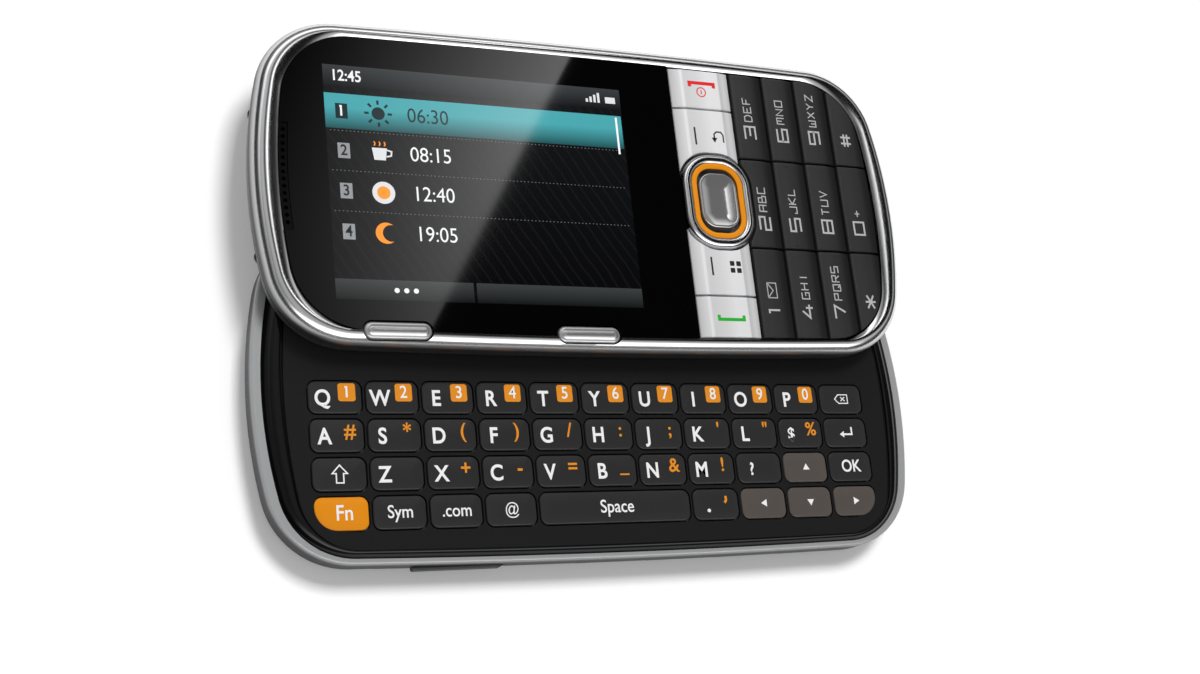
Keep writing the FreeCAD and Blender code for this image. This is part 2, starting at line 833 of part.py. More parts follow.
def slider_rear_cover():
    """The dark back of the upper half, with a spring pocket and channel slots."""
    outer = bowed_slab(phone_shape, slider_bottom, bezel_bottom, cover_inset, open_y)
    outer = soften(outer, slider_bottom, cover_edge_radius)
    cavity = bowed_slab(phone_shape, slider_bottom + cover_floor, bezel_bottom + 1,
                        cover_inset + cover_wall, open_y)
    body = outer.cut(cavity)
    y_reach = phone_width / 2 - pocket_edge_gap + pocket_rim
    roof = box(-pocket_length / 2 - pocket_rim, pocket_length / 2 + pocket_rim,
               open_y - y_reach, open_y + y_reach, slider_bottom, slider_bottom + pocket_depth + pocket_roof)
    body = body.fuse(roof.common(outer)).cut(pocket_shape())
    for x, y in slider_screw_places():
        boss = disc(screw_boss_radius, cover_height, x, y, slider_bottom).common(outer)
        body = body.fuse(boss)
    for x, y in slider_screw_places():
        body = body.cut(disc(screw_shank_radius + screw_hole_gap, 5, x, y, slider_bottom))
        body = body.cut(disc(slider_screw_head_radius + screw_hole_gap,
                             slider_screw_rise + slider_screw_head_height, x, y, slider_bottom))
    slot = channel_half_width + fit_gap
    for side in (-1, 1):
        body = body.cut(box(side * rail_x - slot, side * rail_x + slot,
                            open_y + channel_low_y - fit_gap, open_y + channel_high_y + fit_gap,
                            slider_bottom - 1, channel_top + 1))
    flex_reach = flex_width / 2 + flex_slot_gap
    flex_slot = box(-flex_reach, flex_reach, open_y + flex_slider_y - flex_slot_gap,
                    open_y + flex_slider_y + flex_thickness + flex_slot_gap,
                    slider_bottom, bezel_bottom)
    return body.cut(flex_slot)


def soft_key_pocket(x, z0, z1):
    """The recess round a landscape soft key."""
    return rounded_slab(x, open_y + soft_key_y, soft_key_length + 2 * face_key_gap,
                        soft_key_width + 2 * face_key_gap, soft_key_width, z0, z1)


soft_key_top = bezel_top + soft_key_proud
soft_key_bottom = soft_key_top - soft_key_height
pocket_bottom = soft_key_bottom - face_key_travel - face_key_under_gap


def slider_bezel():
    """The bright rounded surround of the upper half."""
    body = bowed_slab(phone_shape, bezel_bottom, bezel_top, y=open_y)
    body = soften(body, bezel_top, bezel_edge_radius)
    body = soften(body, bezel_bottom, bezel_lower_radius)
    body = body.cut(bowed_slab(field_shape, bezel_bottom - 1, bezel_top + 1, y=field_y))
    for x in soft_key_x:
        body = body.cut(soft_key_pocket(x, pocket_bottom, bezel_top + 1))
    for x, y in slider_screw_places():
        body = body.cut(disc(screw_shank_radius, slider_screw_length - cover_height + screw_tip_gap,
                             x, y, bezel_bottom))
    return body


def navigation_block(grow, z0, z1):
    """The outline of the navigation ring, grown by a gap."""
    return rounded_slab(navigation_x, field_y, navigation_length + 2 * grow,
                        navigation_width + 2 * grow, navigation_corner + grow, z0, z1)


def earpiece_strip(depth_from, depth_to, half_width, z0, z1):
    """A strip that follows the left end of the display field."""
    outer = bowed_slab(field_shape, z0, z1, depth_from, field_y)
    inner = bowed_slab(field_shape, z0 - 1, z1 + 1, depth_to, field_y)
    side = box(-field_length, panel_start_x, field_y - half_width, field_y + half_width,
               z0 - 1, z1 + 1)
    return outer.cut(inner).common(side)


def display_window():
    """The clear glossy plate over the screen."""
    plate = bowed_slab(field_shape, window_bottom, window_top, window_gap, field_y)
    plate = plate.common(box(-field_length, window_end_x, -phone_width, 3 * phone_width,
                             window_bottom, window_top))
    plate = plate.cut(earpiece_strip(-1, earpiece_depth + window_gap, earpiece_half_width,
                                     window_bottom - 1, window_top + 1))
    for x in soft_key_x:
        plate = plate.cut(soft_key_pocket(x, window_bottom - 1, window_top + 1))
    return plate.cut(navigation_block(navigation_gap, window_bottom - 1, window_top + 1))


def display_panel():
    """The screen module under the window."""
    z1 = window_bottom - panel_gap
    return box(panel_start_x, panel_start_x + panel_length, field_y - panel_width / 2,
               field_y + panel_width / 2, z1 - panel_height, z1)


def slider_board():
    """The circuit board of the upper half."""
    return bowed_slab(field_shape, slider_board_bottom, slider_board_top,
                      slider_board_gap, field_y)


def keypad_mat():
    """The rubber sheet under the keys of the upper half."""
    sheet = bowed_slab(field_shape, keypad_mat_bottom, keypad_mat_top,
                       keypad_mat_inset, field_y)
    return sheet.common(box(function_start_x, field_length, -phone_width, 3 * phone_width,
                            keypad_mat_bottom, keypad_mat_top))


def earpiece_grille():
    """The perforated strip that the earpiece speaks through."""
    z1 = window_top - earpiece_grille_recess
    strip = earpiece_strip(window_gap, earpiece_depth, earpiece_half_width - earpiece_end_gap,
                           z1 - earpiece_grille_thickness, z1)
    pitch = 2 * earpiece_half_width / (earpiece_hole_count + 1)
    end_radius = ((field_width / 2) ** 2 + field_end_bow ** 2) / (2 * field_end_bow)
    for index in range(earpiece_hole_count):
        y = (index - (earpiece_hole_count - 1) / 2) * pitch
        edge_x = field_length / 2 - end_radius + math.sqrt(end_radius ** 2 - y ** 2)
        hole_x = -(edge_x - (window_gap + earpiece_depth) / 2)
        strip = strip.cut(disc(earpiece_hole_radius, 4, hole_x, field_y + y, z1 - 2))
    return strip


def earpiece_speaker():
    """The small receiver below the grille."""
    z1 = window_bottom - panel_gap
    strip = earpiece_strip(earpiece_speaker_setback,
                           earpiece_speaker_setback + earpiece_speaker_depth,
                           earpiece_speaker_width / 2,
                           z1 - earpiece_speaker_height, z1)
    return strip


def slider_screws():
    """Four screws through the rear cover into the bezel."""
    z0 = slider_bottom + slider_screw_rise
    screws = []
    for x, y in slider_screw_places():
        head = disc(slider_screw_head_radius, slider_screw_head_height, x, y, z0)
        head = head.cut(disc(slider_screw_recess_radius, slider_screw_recess_depth,
                             x, y, z0 - 0.01))
        shank = disc(screw_shank_radius, slider_screw_length - slider_screw_head_height,
                     x, y, z0 + slider_screw_head_height)
        screws.append(head.fuse(shank))
    return screws


def face_key(x0, x1, y0, y1):
    """A key of the upper half, trimmed by the display field and the ring."""
    half_gap = face_key_gap / 2
    block = box(x0 + half_gap, x1 - half_gap, y0 + half_gap, y1 - half_gap,
                face_key_bottom, face_key_top)
    block = block.common(bowed_slab(field_shape, face_key_bottom - 1, face_key_top + 1,
                                    face_key_gap, field_y))
    block = block.cut(navigation_block(navigation_gap, face_key_bottom - 1, face_key_top + 1))
    return soften(block, face_key_top, face_key_edge)


keypad_names = (
    ("key_1", "key_2", "key_3"),
    ("key_4", "key_5", "key_6"),
    ("key_7", "key_8", "key_9"),
    ("star_key", "key_0", "hash_key"),
)


def save_keypad():
    """Twelve number keys in four columns of three."""
    reach = field_width
    rows = (field_y - reach, field_y - keypad_split_y, field_y + keypad_split_y, field_y + reach)
    for column, names in enumerate(keypad_names):
        x0 = keypad_start_x + column * keypad_pitch_x
        x1 = x0 + keypad_pitch_x
        if column == len(keypad_names) - 1:
            x1 = field_length
        for row, name in enumerate(names):
            save(name, [face_key(x0, x1, rows[row], rows[row + 1])])


def save_function_keys():
    """The end, rocker and talk keys of the bright column."""
    x0 = function_start_x
    x1 = function_end_x
    reach = field_width
    save("end_key", [face_key(x0, x1, field_y + function_split_y, field_y + reach)])
    save("back_rocker", [face_key(x0, x1, field_y, field_y + function_split_y)])
    save("menu_rocker", [face_key(x0, x1, field_y - function_split_y, field_y)])
    save("talk_key", [face_key(x0, x1, field_y - reach, field_y - function_split_y)])


def navigation_ring():
    """The tilting ring round the select button."""
    top = bezel_top + navigation_proud
    ring = navigation_block(0.0, face_key_bottom, top)
    ring = soften(ring, top, navigation_edge)
    hole = rounded_slab(navigation_x, field_y, select_length + 2 * navigation_gap,
                        select_width + 2 * navigation_gap, select_corner + navigation_gap,
                        face_key_bottom - 1, top + 1)
    return ring.cut(hole)


def select_button():
    """The button in the middle of the ring."""
    top = bezel_top + select_proud
    block = rounded_slab(navigation_x, field_y, select_length, select_width, select_corner,
                         face_key_bottom, top)
    return soften(block, top, select_edge)


def soft_key(x):
    """One of the two slim keys on the lower edge of the window."""
    pill = rounded_slab(x, open_y + soft_key_y, soft_key_length, soft_key_width,
                        soft_key_width, soft_key_bottom, soft_key_top)
    return soften(pill, soft_key_top, soft_key_edge)


def wire_tube(points, radius):
    """A round wire along straight runs."""
    tube = None
    for start, end in zip(points[:-1], points[1:]):
        run = end - start
        piece = Part.makeCylinder(radius, run.Length, start, run)
        tube = piece if tube is None else tube.fuse(piece)
    for point in points[1:-1]:
        tube = tube.fuse(Part.makeSphere(radius, point))
    return tube


def slide_springs():
    """Two wire springs that snap the upper half open or shut, drawn as it lies open."""
    z = slider_bottom + pocket_depth / 2
    springs = []
    for side in (-1, 1):
        pin_y = rail_start_y + spring_pin_gap
        base_end = Vector(side * (spring_x - spring_spread), pin_y, z)
        bend = Vector(side * (spring_x + spring_bend_x), pin_y + spring_bend_y, z)
        loop = Vector(side * (spring_x - spring_loop_x), pin_y + spring_loop_y, z)
        slider_end = Vector(side * (spring_x + spring_spread), open_y - spring_end_gap, z)
        springs.append(wire_tube([base_end, bend, loop, slider_end], spring_wire / 2))
    return springs


def flex_cable():
    """The flat cable that folds over between the two boards."""
    half = flex_width / 2
    low = slider_bottom + flex_layer_gap
    high = slider_bottom + pocket_depth - flex_layer_gap - flex_thickness
    start_y = flex_base_y
    fold_y = open_y - flex_fold_gap
    end_y = open_y + flex_slider_y
    riser = box(-half, half, start_y, start_y + flex_thickness, board_top, low + flex_thickness)
    lower = box(-half, half, start_y, fold_y, low, low + flex_thickness)
    turn = box(-half, half, fold_y - flex_thickness, fold_y, low, high + flex_thickness)
    upper = box(-half, half, end_y, fold_y, high, high + flex_thickness)
    rise = box(-half, half, end_y, end_y + flex_thickness, high, slider_board_bottom)
    return riser.fuse([lower, turn, upper, rise]).removeSplitter()


save("rear_housing", [rear_housing()])
save("battery_cover", [battery_cover()])
save("trim_ring", [trim_ring()])
save("keyboard_frame", [keyboard_frame()])
save("keyboard_deck", [keyboard_deck()])
save("keyboard_mat", [keyboard_mat()])
save("main_board", [main_board()])
save("shield_can", [shield_can()])
save("battery", [battery()])
save("battery_contacts", battery_contacts())
save("camera_module", [camera_module()])
save("camera_window", [camera_window()])
save("loudspeaker", [loudspeaker()])
save("vibration_motor", [vibration_motor()])
save("microphone", [microphone()])
save("usb_socket", [usb_socket()])
save("headset_jack", [headset_jack()])
save("housing_screws", housing_screws())
save("slide_rails", slide_rails())
save("volume_rocker", [side_key(-1, rocker_x, rocker_length)])
save("camera_key", [side_key(1, camera_key_x, camera_key_length)])
save("slider_rear_cover", [slider_rear_cover()])
save("slider_bezel", [slider_bezel()])
save("display_window", [display_window()])
save("display_panel", [display_panel()])
save("slider_board", [slider_board()])
save("keypad_mat", [keypad_mat()])
save("earpiece_grille", [earpiece_grille()])
save("earpiece_speaker", [earpiece_speaker()])
save("slide_channels", slide_channels())
save("slider_screws", slider_screws())
save("slide_springs", slide_springs())
save("flex_cable", [flex_cable()])
save("navigation_ring", [navigation_ring()])
save("select_button", [select_button()])
save("left_soft_key", [soft_key(soft_key_x[0])])
save("right_soft_key", [soft_key(soft_key_x[1])])
save_function_keys()
save_keypad()
for name, places in letter_keys.items():
    save(name, [letter_key(column, row) for column, row in places])
save("space_key", [letter_key(space_column_index, 3, space_column_count)])
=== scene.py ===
"""Looks of a sliding phone that lies open on its back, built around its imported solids."""

import json
import math

import bpy
import numpy as np
from mathutils import Matrix, Vector


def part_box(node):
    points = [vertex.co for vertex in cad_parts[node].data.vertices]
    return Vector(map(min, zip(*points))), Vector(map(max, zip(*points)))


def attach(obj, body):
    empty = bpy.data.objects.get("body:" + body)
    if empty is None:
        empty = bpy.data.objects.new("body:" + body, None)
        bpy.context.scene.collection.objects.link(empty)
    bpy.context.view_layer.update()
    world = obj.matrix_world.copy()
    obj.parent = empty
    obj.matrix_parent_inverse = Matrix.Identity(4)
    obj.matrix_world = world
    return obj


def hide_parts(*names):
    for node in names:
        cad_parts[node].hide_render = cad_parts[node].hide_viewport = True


bl_info = {
    "name": "Slider phone looks",
    "version": (1, 0, 0),
    "blender": (4, 5, 0),
    "location": "View3D > Sidebar > Slider phone",
    "description": "Surfaces, legends and finishes of a sliding phone",
    "category": "Object",
}

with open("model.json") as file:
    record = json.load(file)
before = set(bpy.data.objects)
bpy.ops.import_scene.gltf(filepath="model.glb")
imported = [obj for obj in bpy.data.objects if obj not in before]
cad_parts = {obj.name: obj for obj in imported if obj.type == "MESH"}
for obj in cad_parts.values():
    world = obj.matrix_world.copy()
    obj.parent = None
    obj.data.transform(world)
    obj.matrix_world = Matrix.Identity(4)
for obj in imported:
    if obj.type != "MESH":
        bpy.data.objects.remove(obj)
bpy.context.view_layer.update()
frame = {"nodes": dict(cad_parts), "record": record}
MM = 0.001


def node_mm(node):
    """Lowest and highest corner of a solid, in millimetres."""
    low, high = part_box(node)
    return np.array(low) / MM, np.array(high) / MM


BEZEL_LOW, BEZEL_HIGH = node_mm("slider_bezel")
WINDOW_LOW, WINDOW_HIGH = node_mm("display_window")
RING_LOW, RING_HIGH = node_mm("trim_ring")
FRAME_LOW, FRAME_HIGH = node_mm("keyboard_frame")
DECK_LOW = node_mm("keyboard_deck")[0]
ROW_1_LOW, ROW_1_HIGH = node_mm("key_row_1")
SPACE_LOW, SPACE_HIGH = node_mm("space_key")
NAV_LOW, NAV_HIGH = node_mm("navigation_ring")
SELECT_LOW, SELECT_HIGH = node_mm("select_button")
KEY_1_LOW, KEY_1_HIGH = node_mm("key_1")
KEY_2_LOW, KEY_2_HIGH = node_mm("key_2")
KEY_3_LOW = node_mm("key_3")[0]
END_LOW, END_HIGH = node_mm("end_key")

HALF_Y = (BEZEL_LOW[1] + BEZEL_HIGH[1]) / 2
FIELD_Y = (KEY_2_LOW[1] + KEY_2_HIGH[1]) / 2
FACE_TOP = KEY_1_HIGH[2]
FACE_BOTTOM = KEY_1_LOW[2]
KEY_TOP = ROW_1_HIGH[2]
KEY_BOTTOM = ROW_1_LOW[2]

# Thickness of a printed sign, and the font size over the height of its capital letters.
PRINT = 0.02
TEXT_SCALE = 1.37
# Height of the signs on the keys beside the screen.
SIGN_Z = FACE_TOP + 0.005
# Rounding of the keys beside the screen, and the gap they keep round the navigation ring.
FACE_EDGE = 0.22
RING_GAP = 0.35
WHITE = (1, 1, 1, 1)


def size_prop(name, text, value):
    """A length in millimetres that a user may change."""
    return bpy.props.FloatProperty(name=name, description=text, default=float(value))


def colour_prop(name, text, value):
    """A linear colour that a user may change."""
    return bpy.props.FloatVectorProperty(
        name=name, description=text, subtype="COLOR", size=3, min=0.0, max=1.0, default=value)


class PhoneShape(bpy.types.PropertyGroup):
    """Outlines of the shells, in millimetres."""
    length: size_prop("Length", "Long side of both halves", BEZEL_HIGH[0] - BEZEL_LOW[0])
    width: size_prop("Width", "Short side of both halves", BEZEL_HIGH[1] - BEZEL_LOW[1])
    end_bow: size_prop("End bow", "How far the short ends bulge", 4.6)
    side_bow: size_prop("Side bow", "How far the long sides bulge", 0.85)
    corner: size_prop("Corner radius", "Radius of the outer corners", 13.0)
    border_end: size_prop("Bezel at the ends", "Width of the bright surround at the ends", 4.05)
    border_side: size_prop("Bezel at the sides", "Width of the bright surround at the sides", 2.5)
    field_end_bow: size_prop("Field end bow", "Bulge of the display field's ends", 3.0)
    field_side_bow: size_prop("Field side bow", "Bulge of the display field's sides", 0.5)
    field_corner: size_prop("Field corner", "Corner radius of the display field", 11.3)
    deck_border_end: size_prop("Deck border, ends", "Rim outside the key deck at the ends", 4.6)
    deck_border_side: size_prop("Deck border, sides", "Rim outside the key deck, long sides", 2.0)
    deck_end_bow: size_prop("Deck end bow", "Bulge of the key deck's ends", 3.2)
    deck_side_bow: size_prop("Deck side bow", "Bulge of the key deck's sides", 0.6)
    deck_corner: size_prop("Deck corner", "Corner radius of the key deck", 9.0)
    ring_end: size_prop("Ring at the ends", "Width of the silver band at the ends", 1.5)
    ring_side: size_prop("Ring at the sides", "Width of the silver band at the sides", 0.85)


class KeySizes(bpy.types.PropertyGroup):
    """Sizes of the keys, in millimetres."""
    column_count: bpy.props.IntProperty(name="Columns", description="Letter keys in a row",
                                        default=11)
    pitch_y: size_prop("Row pitch", "Distance between rows of letter keys", 5.845)
    radius: size_prop("Key corner", "Corner radius of a letter key", 1.25)
    crown: size_prop("Key crown", "How far a letter key's middle bulges", 0.16)
    edge: size_prop("Key edge", "Rounding of a letter key's rim", 0.3)
    gap: size_prop("Face key gap", "Gap between the keys beside the screen", 0.3)
    ridge: size_prop("Ridge", "Fall of a number key towards its right edge", 0.42)
    ring_radius: size_prop("Ring corner", "Corner radius of the navigation ring", 5.6)
    select_radius: size_prop("Button corner", "Corner radius of the select button", 2.6)


class Finishes(bpy.types.PropertyGroup):
    """Colours of the finishes."""
    bright: colour_prop("Bright metal", "Plated surround", (0.76, 0.76, 0.77))
    satin: colour_prop("Satin silver", "Painted band of the lower half", (0.40, 0.405, 0.41))
    silver_key: colour_prop("Silver key", "Keys of the bright column", (0.80, 0.80, 0.81))
    gunmetal: colour_prop("Gunmetal", "Dark metal paint", (0.07, 0.07, 0.073))
    black: colour_prop("Black gloss", "Glossy black", (0.0012, 0.0012, 0.0014))
    charcoal: colour_prop("Charcoal", "Matt deck", (0.0085, 0.0085, 0.009))
    letter_key: colour_prop("Letter key", "Satin black keys", (0.023, 0.023, 0.0235))
    number_key: colour_prop("Number key", "Charcoal keys beside the screen",
                            (0.034, 0.033, 0.034))
    taupe: colour_prop("Arrow key", "Grey-brown arrow keys", (0.085, 0.072, 0.065))
    orange: colour_prop("Orange", "Orange keys, tiles and inlay", (0.78, 0.265, 0.004))
    legend: colour_prop("White legend", "Printed letters", (0.88, 0.88, 0.88))
    grey_legend: colour_prop("Grey legend", "Letters of the number keys", (0.46, 0.46, 0.47))
    red: colour_prop("Red", "Sign of the end key", (0.75, 0.01, 0.015))
    green: colour_prop("Green", "Sign of the talk key", (0.01, 0.42, 0.02))
    teal: colour_prop("Teal", "Highlighted line of the screen", (0.055, 0.30, 0.33))


class StudioSet(bpy.types.PropertyGroup):
    """Camera, light and floor."""
    lens: bpy.props.FloatProperty(name="Lens", description="Focal length in millimetres",
                                  unit="CAMERA", default=48.71)
    place: bpy.props.FloatVectorProperty(name="Camera place", description="In metres",
                                         subtype="TRANSLATION", unit="LENGTH",
                                         default=(-0.10676, -0.06306, 0.23512))
    view: bpy.props.FloatVectorProperty(name="View", description="Direction of the view",
                                        subtype="DIRECTION",
                                        default=(0.40807793, 0.27531552, -0.87044458))
    up: bpy.props.FloatVectorProperty(name="Up", description="Upward direction of the picture",
                                      subtype="DIRECTION",
                                      default=(-0.01934383, 0.95583817, 0.29325623))
    floor: colour_prop("Floor", "Pale floor", (0.95, 0.95, 0.95))


def shape():
    """The outlines that a user may change."""
    return bpy.context.scene.phone_shape


def sizes():
    """The sizes of the keys."""
    return bpy.context.scene.key_sizes


def tints():
    """The colours of the finishes."""
    return bpy.context.scene.finishes


def body_of(node):
    """The body that a solid belongs to."""
    for body, members in frame["record"]["behaviour"]["bodies"].items():
        if node in members:
            return body
    raise RuntimeError("no body holds " + node)


def bowed_ring(dims, inset=0.0, y=0.0):
    """Points round a bowed oblong, as an array of x and y.

    Each quarter is an end arc, a corner arc and a side arc. The corner circle lies inside
    both others and touches them. An inset shortens every radius by the same length.
    """
    length, width, bow_end, bow_side, radius = dims
    half_l, half_w = length / 2, width / 2
    end_r = (half_w ** 2 + bow_end ** 2) / (2 * bow_end)
    side_r = (half_l ** 2 + bow_side ** 2) / (2 * bow_side)
    end_c, side_c = half_l - end_r, half_w - side_r
    between = math.hypot(end_c, side_c)
    along = ((end_r - radius) ** 2 - (side_r - radius) ** 2 + between ** 2) / (2 * between)
    across = math.sqrt((end_r - radius) ** 2 - along ** 2)
    unit_x, unit_y = -end_c / between, side_c / between
    cx = end_c + along * unit_x - across * unit_y
    cy = along * unit_y + across * unit_x
    if cy < 0:
        cx = end_c + along * unit_x + across * unit_y
        cy = along * unit_y - across * unit_x
    a_end = math.atan2(cy, cx - end_c)
    a_side = math.atan2(cy - side_c, cx)
    turn_end = np.linspace(0, a_end, 24)
    turn_corner = np.linspace(a_end, a_side, 40)[1:]
    turn_side = np.linspace(a_side, math.pi / 2, 40)[1:]
    x = np.concatenate([
        end_c + (end_r - inset) * np.cos(turn_end),
        cx + (radius - inset) * np.cos(turn_corner),
        (side_r - inset) * np.cos(turn_side),
    ])
    z = np.concatenate([
        (end_r - inset) * np.sin(turn_end),
        cy + (radius - inset) * np.sin(turn_corner),
        side_c + (side_r - inset) * np.sin(turn_side),
    ])
    quarter = np.stack([x, z], 1)
    flip = quarter[::-1][1:] * (-1, 1)
    half = np.concatenate([quarter, flip])
    lower = (half[::-1] * (1, -1))[1:-1]
    loop = np.concatenate([half, lower])
    loop[:, 1] += y
    return loop


def oblong_ring(half_x, half_y, radii, inset=0.0, centre=(0.0, 0.0), steps=12):
    """Points round a rectangle, starting at the corner +x +y.

    Each corner is a quarter turn, with one radius for all or a radius for each. The inset
    moves the whole line inward.
    """
    loops = []
    radii = np.broadcast_to(radii, 4)
    for index, (sx, sy) in enumerate(((1, 1), (-1, 1), (-1, -1), (1, -1))):
        radius = max(radii[index] - inset, 0.02)
        turn = np.linspace(0, math.pi / 2, steps) + index * math.pi / 2
        cx = sx * (half_x - inset - radius)
        cy = sy * (half_y - inset - radius)
        loops.append(np.stack([cx + radius * np.cos(turn), cy + radius * np.sin(turn)], 1))
    return np.concatenate(loops) + centre


def at_height(loop, z):
    """A flat loop raised to one height or to a height for each point."""
    return np.column_stack([loop, np.broadcast_to(z, len(loop))])


def ring_faces(count, rows, wrap):
    """Quads between rows of closed loops of equal length."""
    turn = np.arange(count)
    after = (turn + 1) % count
    pairs = [(row, (row + 1) % rows) for row in range(rows if wrap else rows - 1)]
    quads = [np.stack([a * count + turn, a * count + after, b * count + after,
                       b * count + turn], 1) for a, b in pairs]
    return np.concatenate(quads)


def volume(points, faces):
    """Signed volume of a closed surface, positive when its faces point outward."""
    total = 0.0
    for face in faces:
        corner = points[face[0]]
        for second, third in zip(face[1:-1], face[2:]):
            total += np.dot(corner, np.cross(points[second], points[third]))
    return total / 6.0


def lofted(rings, wrap=False):
    """Points and faces of a closed surface through loops of equal length."""
    rings = [np.asarray(ring, float) for ring in rings]
    count = len(rings[0])
    points = np.concatenate(rings)
    faces = ring_faces(count, len(rings), wrap).tolist()
    if not wrap:
        faces.append(list(range(count))[::-1])
        faces.append(list(range(len(points) - count, len(points))))
    if volume(points, faces) < 0:
        faces = [face[::-1] for face in faces]
    return points, faces


def joined(parts):
    """Several (points, faces) pairs as one."""
    points, faces, start = [], [], 0
    for more_points, more_faces in parts:
        points.append(more_points)
        faces.extend([[index + start for index in face] for face in more_faces])
        start += len(more_points)
    return np.concatenate(points), faces


def piece(name, parts, body, material, replaces=(), sharp=40.0):
    """A mesh object from (points, faces) pairs in millimetres, on a body.

    Edges that turn by more than sharp degrees stay sharp, and at 0 every face is flat.
    """
    points, faces = joined(parts)
    mesh = bpy.data.meshes.new(name)
    mesh.from_pydata((points * MM).tolist(), [], faces)
    mesh.validate()
    if sharp:
        mesh.shade_smooth()
        mesh.set_sharp_from_angle(angle=math.radians(sharp))
    obj = bpy.data.objects.new(name, mesh)
    bpy.context.scene.collection.objects.link(obj)
    mesh.materials.append(material)
    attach(obj, body)
    if replaces:
        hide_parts(*replaces)
    return obj


def inked(name, parts, body, ink):
    """A printed or lit sign: flat faces that replace no solid."""
    return piece(name, parts, body, ink, sharp=0)


def capped(half_x, half_y, radii, centre, z0, z1, edge, crown, rows=7):
    """A key: straight sides, a rounded rim and a softly bulging top.

    The rim is a quarter circle of radius edge. Inside it the height grows with the
    square of the way to the middle, by the crown.
    """
    rings = [at_height(oblong_ring(half_x, half_y, radii, 0.0, centre), z0)]
    for turn in np.linspace(0, math.pi / 2, 6):
        inset = edge * (1 - math.cos(turn))
        height = z1 - crown - edge * (1 - math.sin(turn))
        rings.append(at_height(oblong_ring(half_x, half_y, radii, inset, centre), height))
    # The innermost loop stays open a little, so that no corner turns inside out.
    reach = min(min(half_x, half_y) * 0.93, 2 * half_y - np.max(radii) - 0.1)
    for part in np.linspace(0, 1, rows)[1:]:
        inset = edge + (reach - edge) * part
        height = z1 - crown * (1 - part) ** 2
        rings.append(at_height(oblong_ring(half_x, half_y, radii, inset, centre), height))
    return lofted(rings)


def tile(x0, x1, low_of, high_of, height_of, z0, edge):
    """A key whose long edges follow two curves.

    The grid of 26 by 22 points runs from x0 to x1 and, at each x, from low_of(x) to
    high_of(x). The height is height_of(x share, y), less a quarter-round fall within edge
    of the border.
    """
    def spread(count):
        """Shares from 0 to 1, close together at both ends."""
        inner = np.linspace(0.06, 0.94, count - 8)
        rim = np.array([0.0, 0.006, 0.016, 0.034])
        return np.concatenate([rim, inner, 1 - rim[::-1]])

    u, v = spread(26), spread(22)
    x = x0 + (x1 - x0) * u
    low = np.array([low_of(value) for value in x])
    high = np.array([high_of(value) for value in x])
    grid_x = np.repeat(x[:, None], len(v), 1)
    grid_y = low[:, None] + (high - low)[:, None] * v[None, :]
    side = np.minimum(grid_x - x0, x1 - grid_x)
    near = np.minimum(side, np.minimum(grid_y - low[:, None], high[:, None] - grid_y))
    short = np.clip(1 - near / edge, 0, 1)
    fall = edge * (1 - np.sqrt(1 - short ** 2))
    top = height_of(np.repeat(u[:, None], len(v), 1), grid_y) - fall
    n, m = grid_x.shape
    upper = np.stack([grid_x, grid_y, top], 2).reshape(-1, 3)
    lower = upper.copy()
    lower[:, 2] = z0
    index = np.arange(n * m).reshape(n, m)
    quads = np.stack([index[:-1, :-1], index[1:, :-1], index[1:, 1:], index[:-1, 1:]], 2)
    quads = quads.reshape(-1, 4)
    border = np.concatenate([index[:, 0], index[-1, 1:], index[::-1, -1][1:],
                             index[0, ::-1][1:-1]])
    after = np.roll(border, -1)
    offset = n * m
    walls = np.stack([border + offset, after + offset, after, border], 1)
    faces = quads.tolist() + (quads[:, ::-1] + offset).tolist() + walls.tolist()
    points = np.concatenate([upper, lower])
    if volume(points, faces) < 0:
        faces = [face[::-1] for face in faces]
    return points, faces


def curve_mesh(curve):
    """The closed mesh of a curve or text."""
    obj = bpy.data.objects.new("shape_source", curve)
    bpy.context.scene.collection.objects.link(obj)
    bpy.context.view_layer.update()
    mesh = bpy.data.meshes.new_from_object(
        obj.evaluated_get(bpy.context.evaluated_depsgraph_get()))
    points = np.empty(len(mesh.vertices) * 3)
    mesh.vertices.foreach_get("co", points)
    points = points.reshape(-1, 3)
    faces = [list(face.vertices) for face in mesh.polygons]
    bpy.data.objects.remove(obj)
    bpy.data.curves.remove(curve)
    bpy.data.meshes.remove(mesh)
    return points, faces


def word(text, height, x, y, z, angle=0.0, bold=0.02, narrow=0.9, align="CENTER"):
    """A printed word: thin closed letters, centred on x, y, turned by an angle."""
    curve = bpy.data.curves.new("word", "FONT")
    curve.body = text
    curve.align_x = align
    curve.align_y = "CENTER"
    curve.size = height * TEXT_SCALE
    curve.offset = bold * height
    curve.extrude = PRINT / 2
    curve.resolution_u = 6
    points, faces = curve_mesh(curve)
    points[:, 0] *= narrow
    return placed((points, faces), x, y, z, angle)


def placed(form, x, y, z, angle=0.0):
    """A form turned by an angle in degrees and moved."""
    points, faces = form
    turn = math.radians(angle)
    cos, sin = math.cos(turn), math.sin(turn)
    moved = points.copy()
    moved[:, 0] = points[:, 0] * cos - points[:, 1] * sin + x
    moved[:, 1] = points[:, 0] * sin + points[:, 1] * cos + y
    moved[:, 2] = points[:, 2] + z
    return moved, faces


